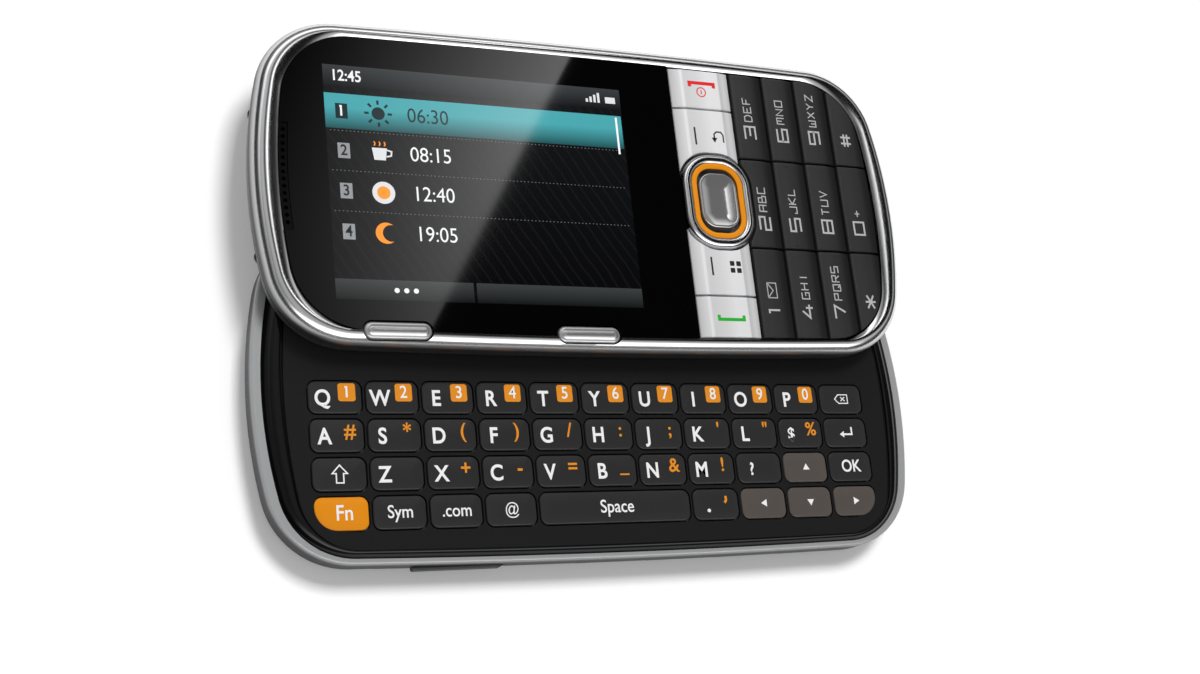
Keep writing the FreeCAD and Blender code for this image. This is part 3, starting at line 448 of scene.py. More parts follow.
def stroke(points, width, closed=False):
    """A printed line of even width: four corners at each point, mitred where it turns.

    The mitre is the sum of both normals over one plus their product, times half the width.
    """
    line = np.asarray(points, float)
    if closed:
        before = line - np.roll(line, 1, 0)
        after = np.roll(line, -1, 0) - line
    else:
        step = np.diff(line, axis=0)
        before = np.vstack([step[:1], step])
        after = np.vstack([step, step[-1:]])
    before = before / np.linalg.norm(before, axis=1, keepdims=True)
    after = after / np.linalg.norm(after, axis=1, keepdims=True)
    first = before[:, ::-1] * (-1, 1)
    second = after[:, ::-1] * (-1, 1)
    turn = np.maximum(1 + (first * second).sum(1, keepdims=True), 0.35)
    reach = (first + second) / turn * width / 2
    half = PRINT / 2
    rings = [np.array([(*(p + r), half), (*(p - r), half), (*(p - r), -half),
                       (*(p + r), -half)]) for p, r in zip(line, reach)]
    return lofted(rings, wrap=closed)


def slab(points, height=PRINT):
    """A thin plate with a closed outline."""
    loop = np.asarray(points, float)
    return lofted([at_height(loop, -height / 2), at_height(loop, height / 2)])


def circle(radius, steps=32, start=0.0, end=2 * math.pi):
    """Points on an arc round the origin."""
    turn = np.linspace(start, end, steps)
    return np.stack([radius * np.cos(turn), radius * np.sin(turn)], 1)


SQUARE_SIGNS = {
    "0": "00 40 46 06 00", "1": "16 26 20", "2": "06 46 43 03 00 40", "3": "06 46 40 00|13 43",
    "4": "26 02 42|34 30", "5": "46 06 03 43 40 00", "6": "46 06 00 40 43 03",
    "7": "06 46 20", "8": "00 40 46 06 00|03 43", "9": "00 40 46 06 03 43",
    "A": "00 06 46 40|03 43", "B": "33 36 06 00 40 43 03", "C": "46 06 00 40",
    "D": "00 06 36 44 42 30 00", "E": "46 06 00 40|03 33", "F": "46 06 00|03 33",
    "G": "46 06 00 40 43 23", "H": "00 06|40 46|03 43", "I": "20 26", "J": "46 40 00 02",
    "K": "00 06|46 03 40", "L": "06 00 40", "M": "00 06 46 40|26 22", "N": "00 06 40 46",
    "O": "00 40 46 06 00", "P": "00 06 46 43 03", "Q": "00 40 46 06 00|22 40",
    "R": "00 06 46 43 03|23 40", "S": "46 06 03 43 40 00", "T": "06 46|26 20",
    "U": "06 00 40 46", "V": "06 20 46", "W": "06 00 40 46|20 24", "X": "00 46|06 40",
    "Y": "06 23 46|23 20", "Z": "06 46 00 40", "#": "10 16|30 36|02 42|04 44",
    "*": "20 26|01 45|05 41", "+": "03 43|21 25",
}


def square_word(text, height, width, advance, weight, x, y, z, angle):
    """Letters of straight strokes on a grid four wide and six high, from the left edge."""
    forms = []
    for index, sign in enumerate(text):
        for line in SQUARE_SIGNS[sign].split("|"):
            points = [(int(spot[0]) / 4 * width + index * advance,
                       (int(spot[1]) / 6 - 0.5) * height) for spot in line.split()]
            closed = points[0] == points[-1]
            form = stroke(points[:-1] if closed else points, weight, closed)
            forms.append(placed(form, 0, 0, len(forms) * 0.15 * PRINT))
    return placed(joined(forms), x, y, z, angle)


class TreeNodes:
    """Adds shader nodes to a node tree and links them."""

    def __init__(self, tree):
        """Works on one node tree."""
        self.tree = tree

    def add(self, kind, inputs=None, **settings):
        """A new node with its settings, each input set to a value or linked to a socket."""
        node = self.tree.nodes.new(kind)
        for key, value in settings.items():
            setattr(node, key, value)
        for key, value in (inputs or {}).items():
            if isinstance(value, bpy.types.NodeSocket):
                self.tree.links.new(value, node.inputs[key])
            else:
                node.inputs[key].default_value = value
        return node

    def place(self):
        """The place of a point in its object."""
        return self.add("ShaderNodeTexCoord").outputs["Object"]

    def axis(self, vector, name):
        """One coordinate of a vector."""
        return self.add("ShaderNodeSeparateXYZ", {"Vector": vector}).outputs[name]

    def maths(self, operation, *values):
        """The result of a sum, a product or the like."""
        inputs = dict(enumerate(values))
        return self.add("ShaderNodeMath", inputs, operation=operation).outputs[0]

    def span(self, value, start, end, low=0.0, high=1.0, clamp=True):
        """A number that goes from low to high while a value goes from start to end."""
        inputs = {"Value": value, "From Min": start, "From Max": end, "To Min": low,
                  "To Max": high}
        return self.add("ShaderNodeMapRange", inputs, clamp=clamp).outputs["Result"]

    def blend(self, share, low, high):
        """A colour that goes from low to high with a share."""
        node = self.add("ShaderNodeMix", {"Factor": share}, data_type="RGBA")
        node.inputs[6].default_value = (*low, 1.0)
        node.inputs[7].default_value = (*high, 1.0)
        return node.outputs[2]

    def ramp(self, share, stops):
        """A grey that follows stops of place and value; the first is at 0, the last at 1."""
        node = self.add("ShaderNodeValToRGB", {"Fac": share})
        elements = node.color_ramp.elements
        for place, value in stops:
            at_end = {0: elements[0], 1: elements[-1]}
            stop = at_end.get(place) or elements.new(place)
            stop.color = (value, value, value, 1)
        return node.outputs["Color"]

    def seen(self):
        """1 for rays from the camera, from gloss or through glass, and 0 for all others."""
        path = self.add("ShaderNodeLightPath").outputs
        either = self.maths("MAXIMUM", path["Is Camera Ray"], path["Is Glossy Ray"])
        return self.maths("MAXIMUM", either, path["Is Transmission Ray"])


class Nodes(TreeNodes):
    """The nodes of one material."""

    def __init__(self, name, source=None):
        """Starts a new material, or a copy of one that is finished."""
        if source is None:
            self.material = bpy.data.materials.new(name)
            self.material.use_nodes = True
        else:
            self.material = source.copy()
            self.material.name = name
        super().__init__(self.material.node_tree)
        self.shader = self.tree.nodes["Principled BSDF"]
        self.output = self.tree.nodes["Material Output"]

    def link(self, socket, key):
        """Links a socket to an input of the shader."""
        self.tree.links.new(socket, self.shader.inputs[key])

    def set(self, **values):
        """Sets inputs of the shader by their short names."""
        names = {"colour": "Base Color", "metal": "Metallic", "rough": "Roughness",
                 "coat": "Coat Weight", "coat_rough": "Coat Roughness",
                 "glow": "Emission Strength", "glow_colour": "Emission Color",
                 "specular": "Specular IOR Level"}
        for key, value in values.items():
            socket = self.shader.inputs[names[key]]
            socket.default_value = (*value, 1.0) if key in ("colour", "glow_colour") else value


def finish(name, colour, rough=0.4, metal=0.0, coat=0.0, grain=900.0, depth=0.04, vary=0.12,
           spread=0.08, specular=0.5, stretch=(1, 1, 1)):
    """A procedural finish: fine grain in the bump, soft clouds in colour and roughness."""
    name += "_finish"
    if name in bpy.data.materials:
        return bpy.data.materials[name]
    n = Nodes(name)
    n.set(colour=colour, metal=metal, rough=rough, coat=coat, specular=specular,
          coat_rough=0.05)
    mapping = n.add("ShaderNodeMapping", {"Vector": n.place(), "Scale": stretch})
    where = mapping.outputs["Vector"]
    cloud = n.add("ShaderNodeTexNoise", {"Vector": where, "Scale": 60.0, "Detail": 3.0})
    fine = n.add("ShaderNodeTexNoise", {"Vector": where, "Scale": grain * 4, "Detail": 2.0})
    darker = [value * (1 - vary) for value in colour]
    lighter = [min(value * (1 + vary), 1.0) for value in colour]
    n.link(n.blend(cloud.outputs["Fac"], darker, lighter), "Base Color")
    n.link(n.span(fine.outputs["Fac"], 0.0, 1.0, max(rough - spread, 0.02),
                  min(rough + spread, 1.0)), "Roughness")
    bump = n.add("ShaderNodeBump", {"Height": fine.outputs["Fac"], "Strength": depth,
                                    "Distance": 0.0001})
    n.link(bump.outputs["Normal"], "Normal")
    return n.material


def flat_print(name, colour, rough=0.45, glow=0.0):
    """Printed ink with faint mottling, or a lit screen area when glow is set."""
    if name in bpy.data.materials:
        return bpy.data.materials[name]
    n = Nodes(name)
    n.set(colour=colour, rough=rough, glow=glow, glow_colour=colour)
    cloud = n.add("ShaderNodeTexNoise", {"Vector": n.place(), "Scale": 1500.0, "Detail": 2.0})
    darker = [value * 0.93 for value in colour]
    lighter = [min(value * 1.05, 1.0) for value in colour]
    n.link(n.blend(cloud.outputs["Fac"], darker, lighter), "Base Color")
    return n.material


# Name, place, size and power of each soft lamp, and the point at which they aim, in metres.
LAMPS = (("key_softbox", (0.12, 0.42, 1.05), 0.30, 8.6),
         ("fill_softbox", (-0.45, -0.35, 0.45), 0.40, 0.30))
LAMP_AIM = (0, 0.02, 0.01)
# Brightness of the tent from the floor, at 0, to its top, at 1.
TENT_STOPS = ((0.0, 0.12), (0.30, 0.24), (0.47, 0.36), (0.50, 1.6), (0.68, 1.6), (0.73, 0.60),
              (1.0, 0.42))


class PHONE_OT_stage(bpy.types.Operator):
    """Floor, lamps, world and camera."""
    bl_idname = "phone.stage"
    bl_label = "Studio"

    def execute(self, context):
        studio = context.scene.studio_set
        self.floor(studio)
        self.world()
        self.lamps()
        self.camera(context, studio)
        context.scene.view_settings.view_transform = "Standard"
        return {"FINISHED"}

    def floor(self, studio):
        """Pale paper just above the flat back; it is clear when seen from below."""
        reach = 3.0
        height = 0.00004
        mesh = bpy.data.meshes.new("floor")
        mesh.from_pydata([(-reach, -reach, height), (reach, -reach, height),
                          (reach, reach, height), (-reach, reach, height)], [], [(0, 1, 2, 3)])
        floor = bpy.data.objects.new("floor", mesh)
        bpy.context.scene.collection.objects.link(floor)
        n = Nodes("floor_paper")
        n.set(colour=studio.floor, rough=0.9, specular=0.0, glow_colour=(1, 1, 1))
        away = n.add("ShaderNodeVectorMath", {0: n.place()}, operation="LENGTH")
        rise = n.span(away.outputs["Value"], 0.15, 1.1, 0.14, 0.68)
        n.link(n.maths("MULTIPLY", n.seen(), rise), "Emission Strength")
        back = n.add("ShaderNodeNewGeometry").outputs["Backfacing"]
        clear = n.add("ShaderNodeBsdfTransparent").outputs[0]
        mix = n.add("ShaderNodeMixShader", {0: back, 1: n.shader.outputs[0], 2: clear})
        n.tree.links.new(mix.outputs[0], n.output.inputs["Surface"])
        mesh.materials.append(n.material)

    def world(self):
        """White for the camera and for reflections, and a weaker white as light."""
        world = bpy.data.worlds.new("studio_world")
        bpy.context.scene.world = world
        world.use_nodes = True
        n = TreeNodes(world.node_tree)
        n.tree.nodes.clear()
        soft = n.add("ShaderNodeBackground", {"Color": WHITE, "Strength": 0.35}).outputs[0]
        white = n.add("ShaderNodeBackground", {"Color": WHITE, "Strength": 1.0}).outputs[0]
        mix = n.add("ShaderNodeMixShader", {0: n.seen(), 1: soft, 2: white}).outputs[0]
        n.add("ShaderNodeOutputWorld", {"Surface": mix})

    def lamps(self):
        """Soft lamps for colour and shadow; the tent and the bright card make reflections."""
        for name, place, size, power in LAMPS:
            lamp = bpy.data.lights.new(name, "AREA")
            lamp.size = size
            lamp.energy = power
            obj = bpy.data.objects.new(name, lamp)
            bpy.context.scene.collection.objects.link(obj)
            obj.location = place
            obj.visible_glossy = False
            aim = Vector(LAMP_AIM) - Vector(place)
            obj.rotation_euler = aim.to_track_quat("-Z", "Y").to_euler()
        self.tent()
        self.glare_card()

    def reflected_only(self, obj, n, strength):
        """Makes a stage piece that only reflections show, with a light of its own."""
        light = n.add("ShaderNodeEmission", {"Strength": strength, "Color": WHITE})
        n.tree.links.new(light.outputs[0], n.output.inputs["Surface"])
        n.tree.nodes.remove(n.shader)
        obj.data.materials.append(n.material)
        obj.visible_camera = False
        obj.visible_diffuse = False
        obj.visible_transmission = False
        obj.visible_shadow = False
        bpy.context.scene.collection.objects.link(obj)

    def tent(self):
        """A dome round the phone: height sets its brightness, with a dark patch overhead.

        Points are radius times (cos a cos b, sin a cos b, sin b). A shade darkens the far
        right and the far left, and a card brightens the near side above the middle.
        """
        radius, sides, levels = 0.7, 48, 20
        a = np.linspace(0, 2 * math.pi, sides + 1)[:-1]
        rings = []
        for b in np.radians(np.linspace(0.5, 88, levels)):
            rings.append(np.stack([radius * np.cos(a) * math.cos(b),
                                   radius * np.sin(a) * math.cos(b),
                                   np.full(sides, radius * math.sin(b))], 1))
        top = list(range((levels - 1) * sides, levels * sides))
        mesh = bpy.data.meshes.new("tent")
        mesh.from_pydata(np.concatenate(rings).tolist(), [],
                         ring_faces(sides, levels, False).tolist() + [top])
        n = Nodes("tent_cloth")
        unit = n.add("ShaderNodeVectorMath", {0: n.place()}, operation="NORMALIZE").outputs[0]
        x, y, height = (n.axis(unit, name) for name in "XYZ")
        overhead = n.add("ShaderNodeVectorMath", {0: unit, 1: (0.40, 0.30, 0.866)},
                         operation="DOT_PRODUCT").outputs["Value"]
        light = n.ramp(height, TENT_STOPS)
        for shade in (n.span(overhead, 0.86, 0.94, 1.0, 0.01), n.span(x, 0.45, 0.80, 1.0, 0.30),
                      n.span(x, -0.75, -0.36, 0.2, 1.0)):
            light = n.maths("MULTIPLY", light, shade)
        card = n.maths("MULTIPLY", n.span(y, -0.62, -0.34, 1.7, 0.0),
                       n.span(height, 0.40, 0.50))
        self.reflected_only(bpy.data.objects.new("tent", mesh), n, n.maths("ADD", light, card))

    def glare_card(self):
        """A bright card whose right edge the window mirrors as a slanted line."""
        across, near, far = 0.15, -0.09, 0.42
        mesh = bpy.data.meshes.new("glare_card")
        mesh.from_pydata([(0, near, 0), (0, far, 0), (-across, far, 0), (-across, near, 0)], [],
                         [(0, 1, 2, 3)])
        card = bpy.data.objects.new("glare_card", mesh)
        card.location = (0.1407, 0.1659, 0.5138)
        card.rotation_euler = (0, 0, -math.radians(30.1))
        n = Nodes("glare_light")
        where = n.place()
        fade = n.maths("POWER", n.span(n.axis(where, "X"), -across, 0.0), 2.3)
        rise = n.span(n.axis(where, "Y"), -0.05, 0.12, 0.4, 3.2)
        self.reflected_only(card, n, n.maths("MULTIPLY", fade, rise))

    def camera(self, context, studio):
        """The camera at the place and in the direction of the photograph."""
        data = bpy.data.cameras.new("camera")
        data.lens = studio.lens
        data.sensor_width = 36.0
        data.clip_start = 0.01
        data.clip_end = 20.0
        camera = bpy.data.objects.new("camera", data)
        context.scene.collection.objects.link(camera)
        back = -Vector(studio.view).normalized()
        right = Vector(studio.up).cross(back).normalized()
        up = back.cross(right)
        turn = Matrix((right, up, back)).transposed()
        camera.matrix_world = Matrix.Translation(studio.place) @ turn.to_4x4()
        context.scene.camera = camera


class PHONE_OT_solids(bpy.types.Operator):
    """Finishes of the solids that keep their own shape."""
    bl_idname = "phone.solids"
    bl_label = "Finishes of the solids"

    def execute(self, context):
        t = tints()
        kinds = {
            "dark_plastic": dict(colour=(0.016, 0.016, 0.017), rough=0.5, depth=0.12),
            "gunmetal": dict(colour=t.gunmetal, rough=0.34, metal=0.6, depth=0.05),
            "charcoal_plastic": dict(colour=t.charcoal, rough=0.46, depth=0.05, specular=0.22),
            "gloss_black": dict(colour=t.black, rough=0.10, depth=0.0, spread=0.02,
                                specular=0.3),
            "clear_window": dict(colour=t.black, rough=0.03, depth=0.0, spread=0.01,
                                 specular=0.45),
            "screen": dict(colour=(0.01, 0.012, 0.014), rough=0.2, depth=0.02),
            "silicone": dict(colour=(0.10, 0.10, 0.105), rough=0.7, depth=0.1),
            "circuit_board": dict(colour=(0.010, 0.075, 0.030), rough=0.38, depth=0.25,
                                  grain=400.0, vary=0.35),
            "steel": dict(colour=(0.50, 0.50, 0.51), rough=0.28, metal=1.0, depth=0.06,
                          stretch=(1, 12, 1)),
            "gold_contact": dict(colour=(0.78, 0.55, 0.20), rough=0.25, metal=1.0),
            "battery_wrap": dict(colour=(0.12, 0.12, 0.13), rough=0.45, depth=0.06),
            "flex_film": dict(colour=(0.42, 0.20, 0.03), rough=0.3, depth=0.05),
            "lens_glass": dict(colour=(0.012, 0.012, 0.016), rough=0.03, depth=0.0, coat=0.5),
            "silver_paint": dict(colour=t.bright, rough=0.15, metal=1.0, depth=0.0,
                                 vary=0.04, spread=0.01),
            "satin_silver": dict(colour=t.satin, rough=0.34, metal=0.25, depth=0.03),
            "silver_key": dict(colour=t.silver_key, rough=0.30, metal=0.08, depth=0.0,
                               vary=0.03, spread=0.01),
            "number_key": dict(colour=t.number_key, rough=0.34, depth=0.03, specular=0.3),
            "letter_key": dict(colour=t.letter_key, rough=0.36, depth=0.03, specular=0.3),
            "taupe_key": dict(colour=t.taupe, rough=0.36, depth=0.03, specular=0.3),
            "orange_key": dict(colour=t.orange, rough=0.34, depth=0.03, specular=0.25),
        }
        for slot, settings in kinds.items():
            finish(slot, **settings)
        for part in frame["record"]["subparts"]:
            obj = frame["nodes"][part["node"]]
            obj.data.materials.clear()
            obj.data.materials.append(slot_material(part["material_slot"]))
        # These solids look darker than the finish of their slot.
        for node, slot in (("earpiece_grille", "gloss_black"), ("volume_rocker", "dark_plastic"),
                           ("camera_key", "dark_plastic"), ("slider_screws", "gunmetal")):
            frame["nodes"][node].data.materials[0] = slot_material(slot)
        return {"FINISHED"}


def slot_material(slot):
    """The finish that was made for a material slot."""
    return bpy.data.materials[slot + "_finish"]


def painted_light_bands(slot, name, start, pitch, stops):
    """A copy of a finish whose colour is scaled across the keys, as share: factor stops, which
    paint highlights and shade onto the keys.
    """
    n = Nodes(name, slot_material(slot))
    before = next(link.from_socket for link in n.tree.links
                  if link.to_node == n.shader and link.to_socket.name == "Base Color")
    share = n.span(n.axis(n.place(), "X"), start * MM, (start + pitch) * MM, clamp=False)
    factor = n.ramp(n.maths("FRACT", share), stops)
    scaled = n.add("ShaderNodeMix", {"Factor": 1.0}, data_type="RGBA", blend_type="MULTIPLY")
    n.tree.links.new(before, scaled.inputs[6])
    n.tree.links.new(factor, scaled.inputs[7])
    n.link(scaled.outputs[2], "Base Color")
    return n.material


def painted_shade_by_height(slot, name, low_colour, high_colour, z_low, z_high, low_rough, high_rough):
    """A copy of a slot's finish whose colour and roughness change between two heights; the darker
    low colour is painted shade.
    """
    n = Nodes(name, slot_material(slot))
    share = n.span(n.axis(n.place(), "Z"), z_low * MM, z_high * MM)
    n.link(n.blend(share, low_colour, high_colour), "Base Color")
    n.link(n.span(share, 0.0, 1.0, low_rough, high_rough), "Roughness")
    return n.material


def outer_dims():
    """Outline of both halves, as bowed_ring takes it."""
    s = shape()
    return (s.length, s.width, s.end_bow, s.side_bow, s.corner)


def field_dims():
    """Outline of the field inside the bright surround."""
    s = shape()
    return (s.length - 2 * s.border_end, s.width - 2 * s.border_side, s.field_end_bow,
            s.field_side_bow, s.field_corner)


def deck_dims():
    """Outline of the key deck."""
    s = shape()
    return (s.length - 2 * s.deck_border_end, s.width - 2 * s.deck_border_side,
            s.deck_end_bow, s.deck_side_bow, s.deck_corner)


def ring_dims():
    """Inner outline of the silver band."""
    s = shape()
    return (s.length - 2 * s.ring_end, s.width - 2 * s.ring_side, s.end_bow, s.side_bow,
            s.corner - s.ring_end)


def cut(obj, forms):
    """Takes closed forms out of a piece with a boolean, then removes them."""
    for form in forms:
        mesh = bpy.data.meshes.new("cutter")
        mesh.from_pydata((form[0] * MM).tolist(), [], form[1])
        cutter = bpy.data.objects.new("cutter", mesh)
        bpy.context.scene.collection.objects.link(cutter)
        modifier = obj.modifiers.new("cut", "BOOLEAN")
        modifier.object = cutter
        modifier.operation = "DIFFERENCE"
        modifier.solver = "EXACT"
        bpy.context.view_layer.update()
        result = bpy.data.meshes.new_from_object(
            obj.evaluated_get(bpy.context.evaluated_depsgraph_get()))
        obj.modifiers.clear()
        obj.data = result
        bpy.data.objects.remove(cutter)
    obj.data.shade_smooth()
    obj.data.set_sharp_from_angle(angle=math.radians(35))
    return obj


def soft_key_spots():
    """Centre and extent of each landscape soft key."""
    spots = []
    for node in ("left_soft_key", "right_soft_key"):
        low, high = node_mm(node)
        spots.append(((low[0] + high[0]) / 2, (low[1] + high[1]) / 2, high - low))
    return spots


class PHONE_OT_bezel(bpy.types.Operator):
    """Bright surround of the upper half."""
    bl_idname = "phone.bezel"
    bl_label = "Bright surround"

    def execute(self, context):
        outer, field = outer_dims(), field_dims()
        z0, z1 = BEZEL_LOW[2], BEZEL_HIGH[2]
        low_round, high_round, fall = 0.75, 2.0, 0.42
        side = z0 + (z1 - z0) * 0.42
        rings = []
        for turn in np.linspace(-math.pi / 2, 0, 9)[1:]:
            inset = low_round * (1 - math.cos(turn))
            rings.append(at_height(bowed_ring(outer, inset, HALF_Y),
                                   side + (side - z0) * math.sin(turn)))
        for turn in np.linspace(0, math.pi / 2, 15)[1:]:
            inset = high_round * (1 - math.cos(turn))
            rings.append(at_height(bowed_ring(outer, inset, HALF_Y),
                                   side + (z1 - side) * math.sin(turn)))
        crest = bowed_ring(outer, high_round, HALF_Y)
        inner = bowed_ring(field, 0.0, FIELD_Y)
        for share in np.linspace(0, 1, 9)[1:]:
            loop = crest + (inner - crest) * share
            rings.append(at_height(loop, z1 - fall * share ** 1.7))
        rings.append(at_height(inner, WINDOW_LOW[2] - 0.2))
        rings.append(at_height(inner, z0))
        rings.append(at_height(bowed_ring(outer, low_round, HALF_Y), z0))
        # The plated colour turns to gunmetal towards the foot of the surround: painted shade on
        # its lower flank.
        plating_and_painted_shade = painted_shade_by_height("silver_paint", "plated_surround_painted_shade", tints().gunmetal, tints().bright,
                         z0 + 0.5 * (z1 - z0), z0 + 0.92 * (z1 - z0), 0.5, 0.15)
        bezel = piece("bright_surround", [lofted(rings, wrap=True)], "display_half", plating_and_painted_shade,
                      ("slider_bezel",))
        forms, key_gap = [], 0.2
        for x, y, extent in soft_key_spots():
            half_x, half_y = extent[:2] / 2 + key_gap
            loop = oblong_ring(half_x, half_y, half_y - 0.01, 0, (x, y))
            forms.append(lofted([at_height(loop, z0 + 2.2), at_height(loop, z1 + 1)]))
        cut(bezel, forms)
        return {"FINISHED"}


class PHONE_OT_lower_rims(bpy.types.Operator):
    """Silver band and glossy rim of the lower half."""
    bl_idname = "phone.lower_rims"
    bl_label = "Rims of the lower half"

    def execute(self, context):
        outer, inner, deck = outer_dims(), ring_dims(), deck_dims()
        z0, z1 = RING_LOW[2], RING_HIGH[2]
        rounding = 0.45
        rings = [at_height(bowed_ring(outer, 0.0), z0)]
        for turn in np.linspace(0, math.pi / 2, 7):
            rings.append(at_height(bowed_ring(outer, rounding * (1 - math.cos(turn))),
                                   z1 - rounding * (1 - math.sin(turn))))
        rings.append(at_height(bowed_ring(inner, 0.0), z1))
        rings.append(at_height(bowed_ring(inner, 0.0), z0))
        # The satin band turns dark towards its foot: painted shade on its lower side.
        satin = painted_shade_by_height("satin_silver", "satin_painted_shade", (0.09, 0.09, 0.092), tints().satin,
                       z0 + 0.45 * (z1 - z0), z0 + 0.85 * (z1 - z0), 0.4, 0.3)
        band = piece("silver_band", [lofted(rings, wrap=True)], "base", satin,
                     ("trim_ring",))

        z0, z1 = FRAME_LOW[2], FRAME_HIGH[2]
        start = RING_HIGH[2] - 0.25
        edge = bowed_ring(inner, 0.05)
        lip = bowed_ring(deck, 0.0)
        foot = bowed_ring(deck, 1.2)
        rings = [at_height(edge, z0), at_height(edge, start)]
        for share in np.linspace(0, 1, 12)[1:]:
            height = start + (z1 - start) * math.sin(share * math.pi / 2) ** 0.8
            rings.append(at_height(edge + (lip - edge) * share * 0.93, height))
        rings.append(at_height(edge + (lip - edge) * 0.97, z1 - 0.02))
        rings.append(at_height(lip, z1 - 0.08))
        rings.append(at_height(lip, DECK_LOW[2]))
        rings.append(at_height(foot, DECK_LOW[2] - 0.05))
        rings.append(at_height(foot, DECK_LOW[2] - 0.5))
        rings.append(at_height(lip, DECK_LOW[2] - 0.5))
        rim = piece("gloss_rim", [lofted(rings, wrap=True)], "base",
                    slot_material("gloss_black"), ("keyboard_frame",))
        return {"FINISHED"}


LETTER_ROWS = ("QWERTYUIOP", "ASDFGHJKL", "ZXCVBNM")


def key_centre(column, row):
    """Middle of a letter key: columns from the left, rows from the top."""
    s = sizes()
    pitch_x = (ROW_1_HIGH[0] - ROW_1_LOW[0] - key_length()) / (s.column_count - 1)
    x = ROW_1_LOW[0] + key_length() / 2 + column * pitch_x
    y = (ROW_1_LOW[1] + ROW_1_HIGH[1]) / 2 - row * s.pitch_y
    return x, y


def key_length():
    """Length of one letter key, from the space key that spans three pitches."""
    row = ROW_1_HIGH[0] - ROW_1_LOW[0]
    space = SPACE_HIGH[0] - SPACE_LOW[0]
    count = sizes().column_count
    return ((count - 1) * space - 2 * row) / (count - 3)


def letter_cap(column, row, span=1):
    """The surface of one letter key; the lowest corners of the end keys are rounder."""
    s = sizes()
    x0, y = key_centre(column, row)
    x1 = key_centre(column + span - 1, row)[0]
    half_x = (x1 - x0 + key_length()) / 2
    half_y = (ROW_1_HIGH[1] - ROW_1_LOW[1]) / 2
    radii = [s.radius] * 4
    if (column, row) == (0, 3):
        radii[2] = 3.5
    if (column, row) == (10, 3):
        radii[3] = 3.4
    return capped(half_x, half_y, radii, ((x0 + x1) / 2, y), KEY_BOTTOM, KEY_TOP,
                  s.edge, s.crown)


class PHONE_OT_letter_keys(bpy.types.Operator):
    """Letter keys of the lower half."""
    bl_idname = "phone.letter_keys"
    bl_label = "Letter keys"

    def execute(self, context):
        groups = {
            "key_row_1": ([(column, 0) for column in range(11)], "letter_key"),
            "key_row_2": ([(column, 1) for column in range(11)], "letter_key"),
            "key_row_3": ([(c, 2) for c in range(11) if c != 9], "letter_key"),
            "key_row_4": ([(1, 3), (2, 3), (3, 3), (7, 3)], "letter_key"),
            "function_key": ([(0, 3)], "orange_key"),
            "arrow_keys": ([(9, 2), (8, 3), (9, 3), (10, 3)], "taupe_key"),
        }
        for node, (places, slot) in groups.items():
            caps = [letter_cap(column, row) for column, row in places]
            obj = piece(node + "_caps", caps, body_of(node), slot_material(slot), (node,))
        obj = piece("space_key_cap", [letter_cap(4, 3, 3)], "space_key",
                    slot_material("letter_key"), ("space_key",))
        return {"FINISHED"}


ORANGE_SIGNS = ("", "#*()/:;'\"", "+-=_&!")


def settled(form, column, row, span=1):
    """A flat form laid on a letter key: a plate sunk into the bulge, its top just above."""
    x0, y = key_centre(column, row)
    x1 = key_centre(column + span - 1, row)[0]
    points, faces = form
    points = points.copy()
    points[:, 0] += (x0 + x1) / 2
    points[:, 1] += y
    points[:, 2] = np.where(points[:, 2] < 0, KEY_TOP - sizes().crown,
                            KEY_TOP + PRINT + points[:, 2])
    return points, faces


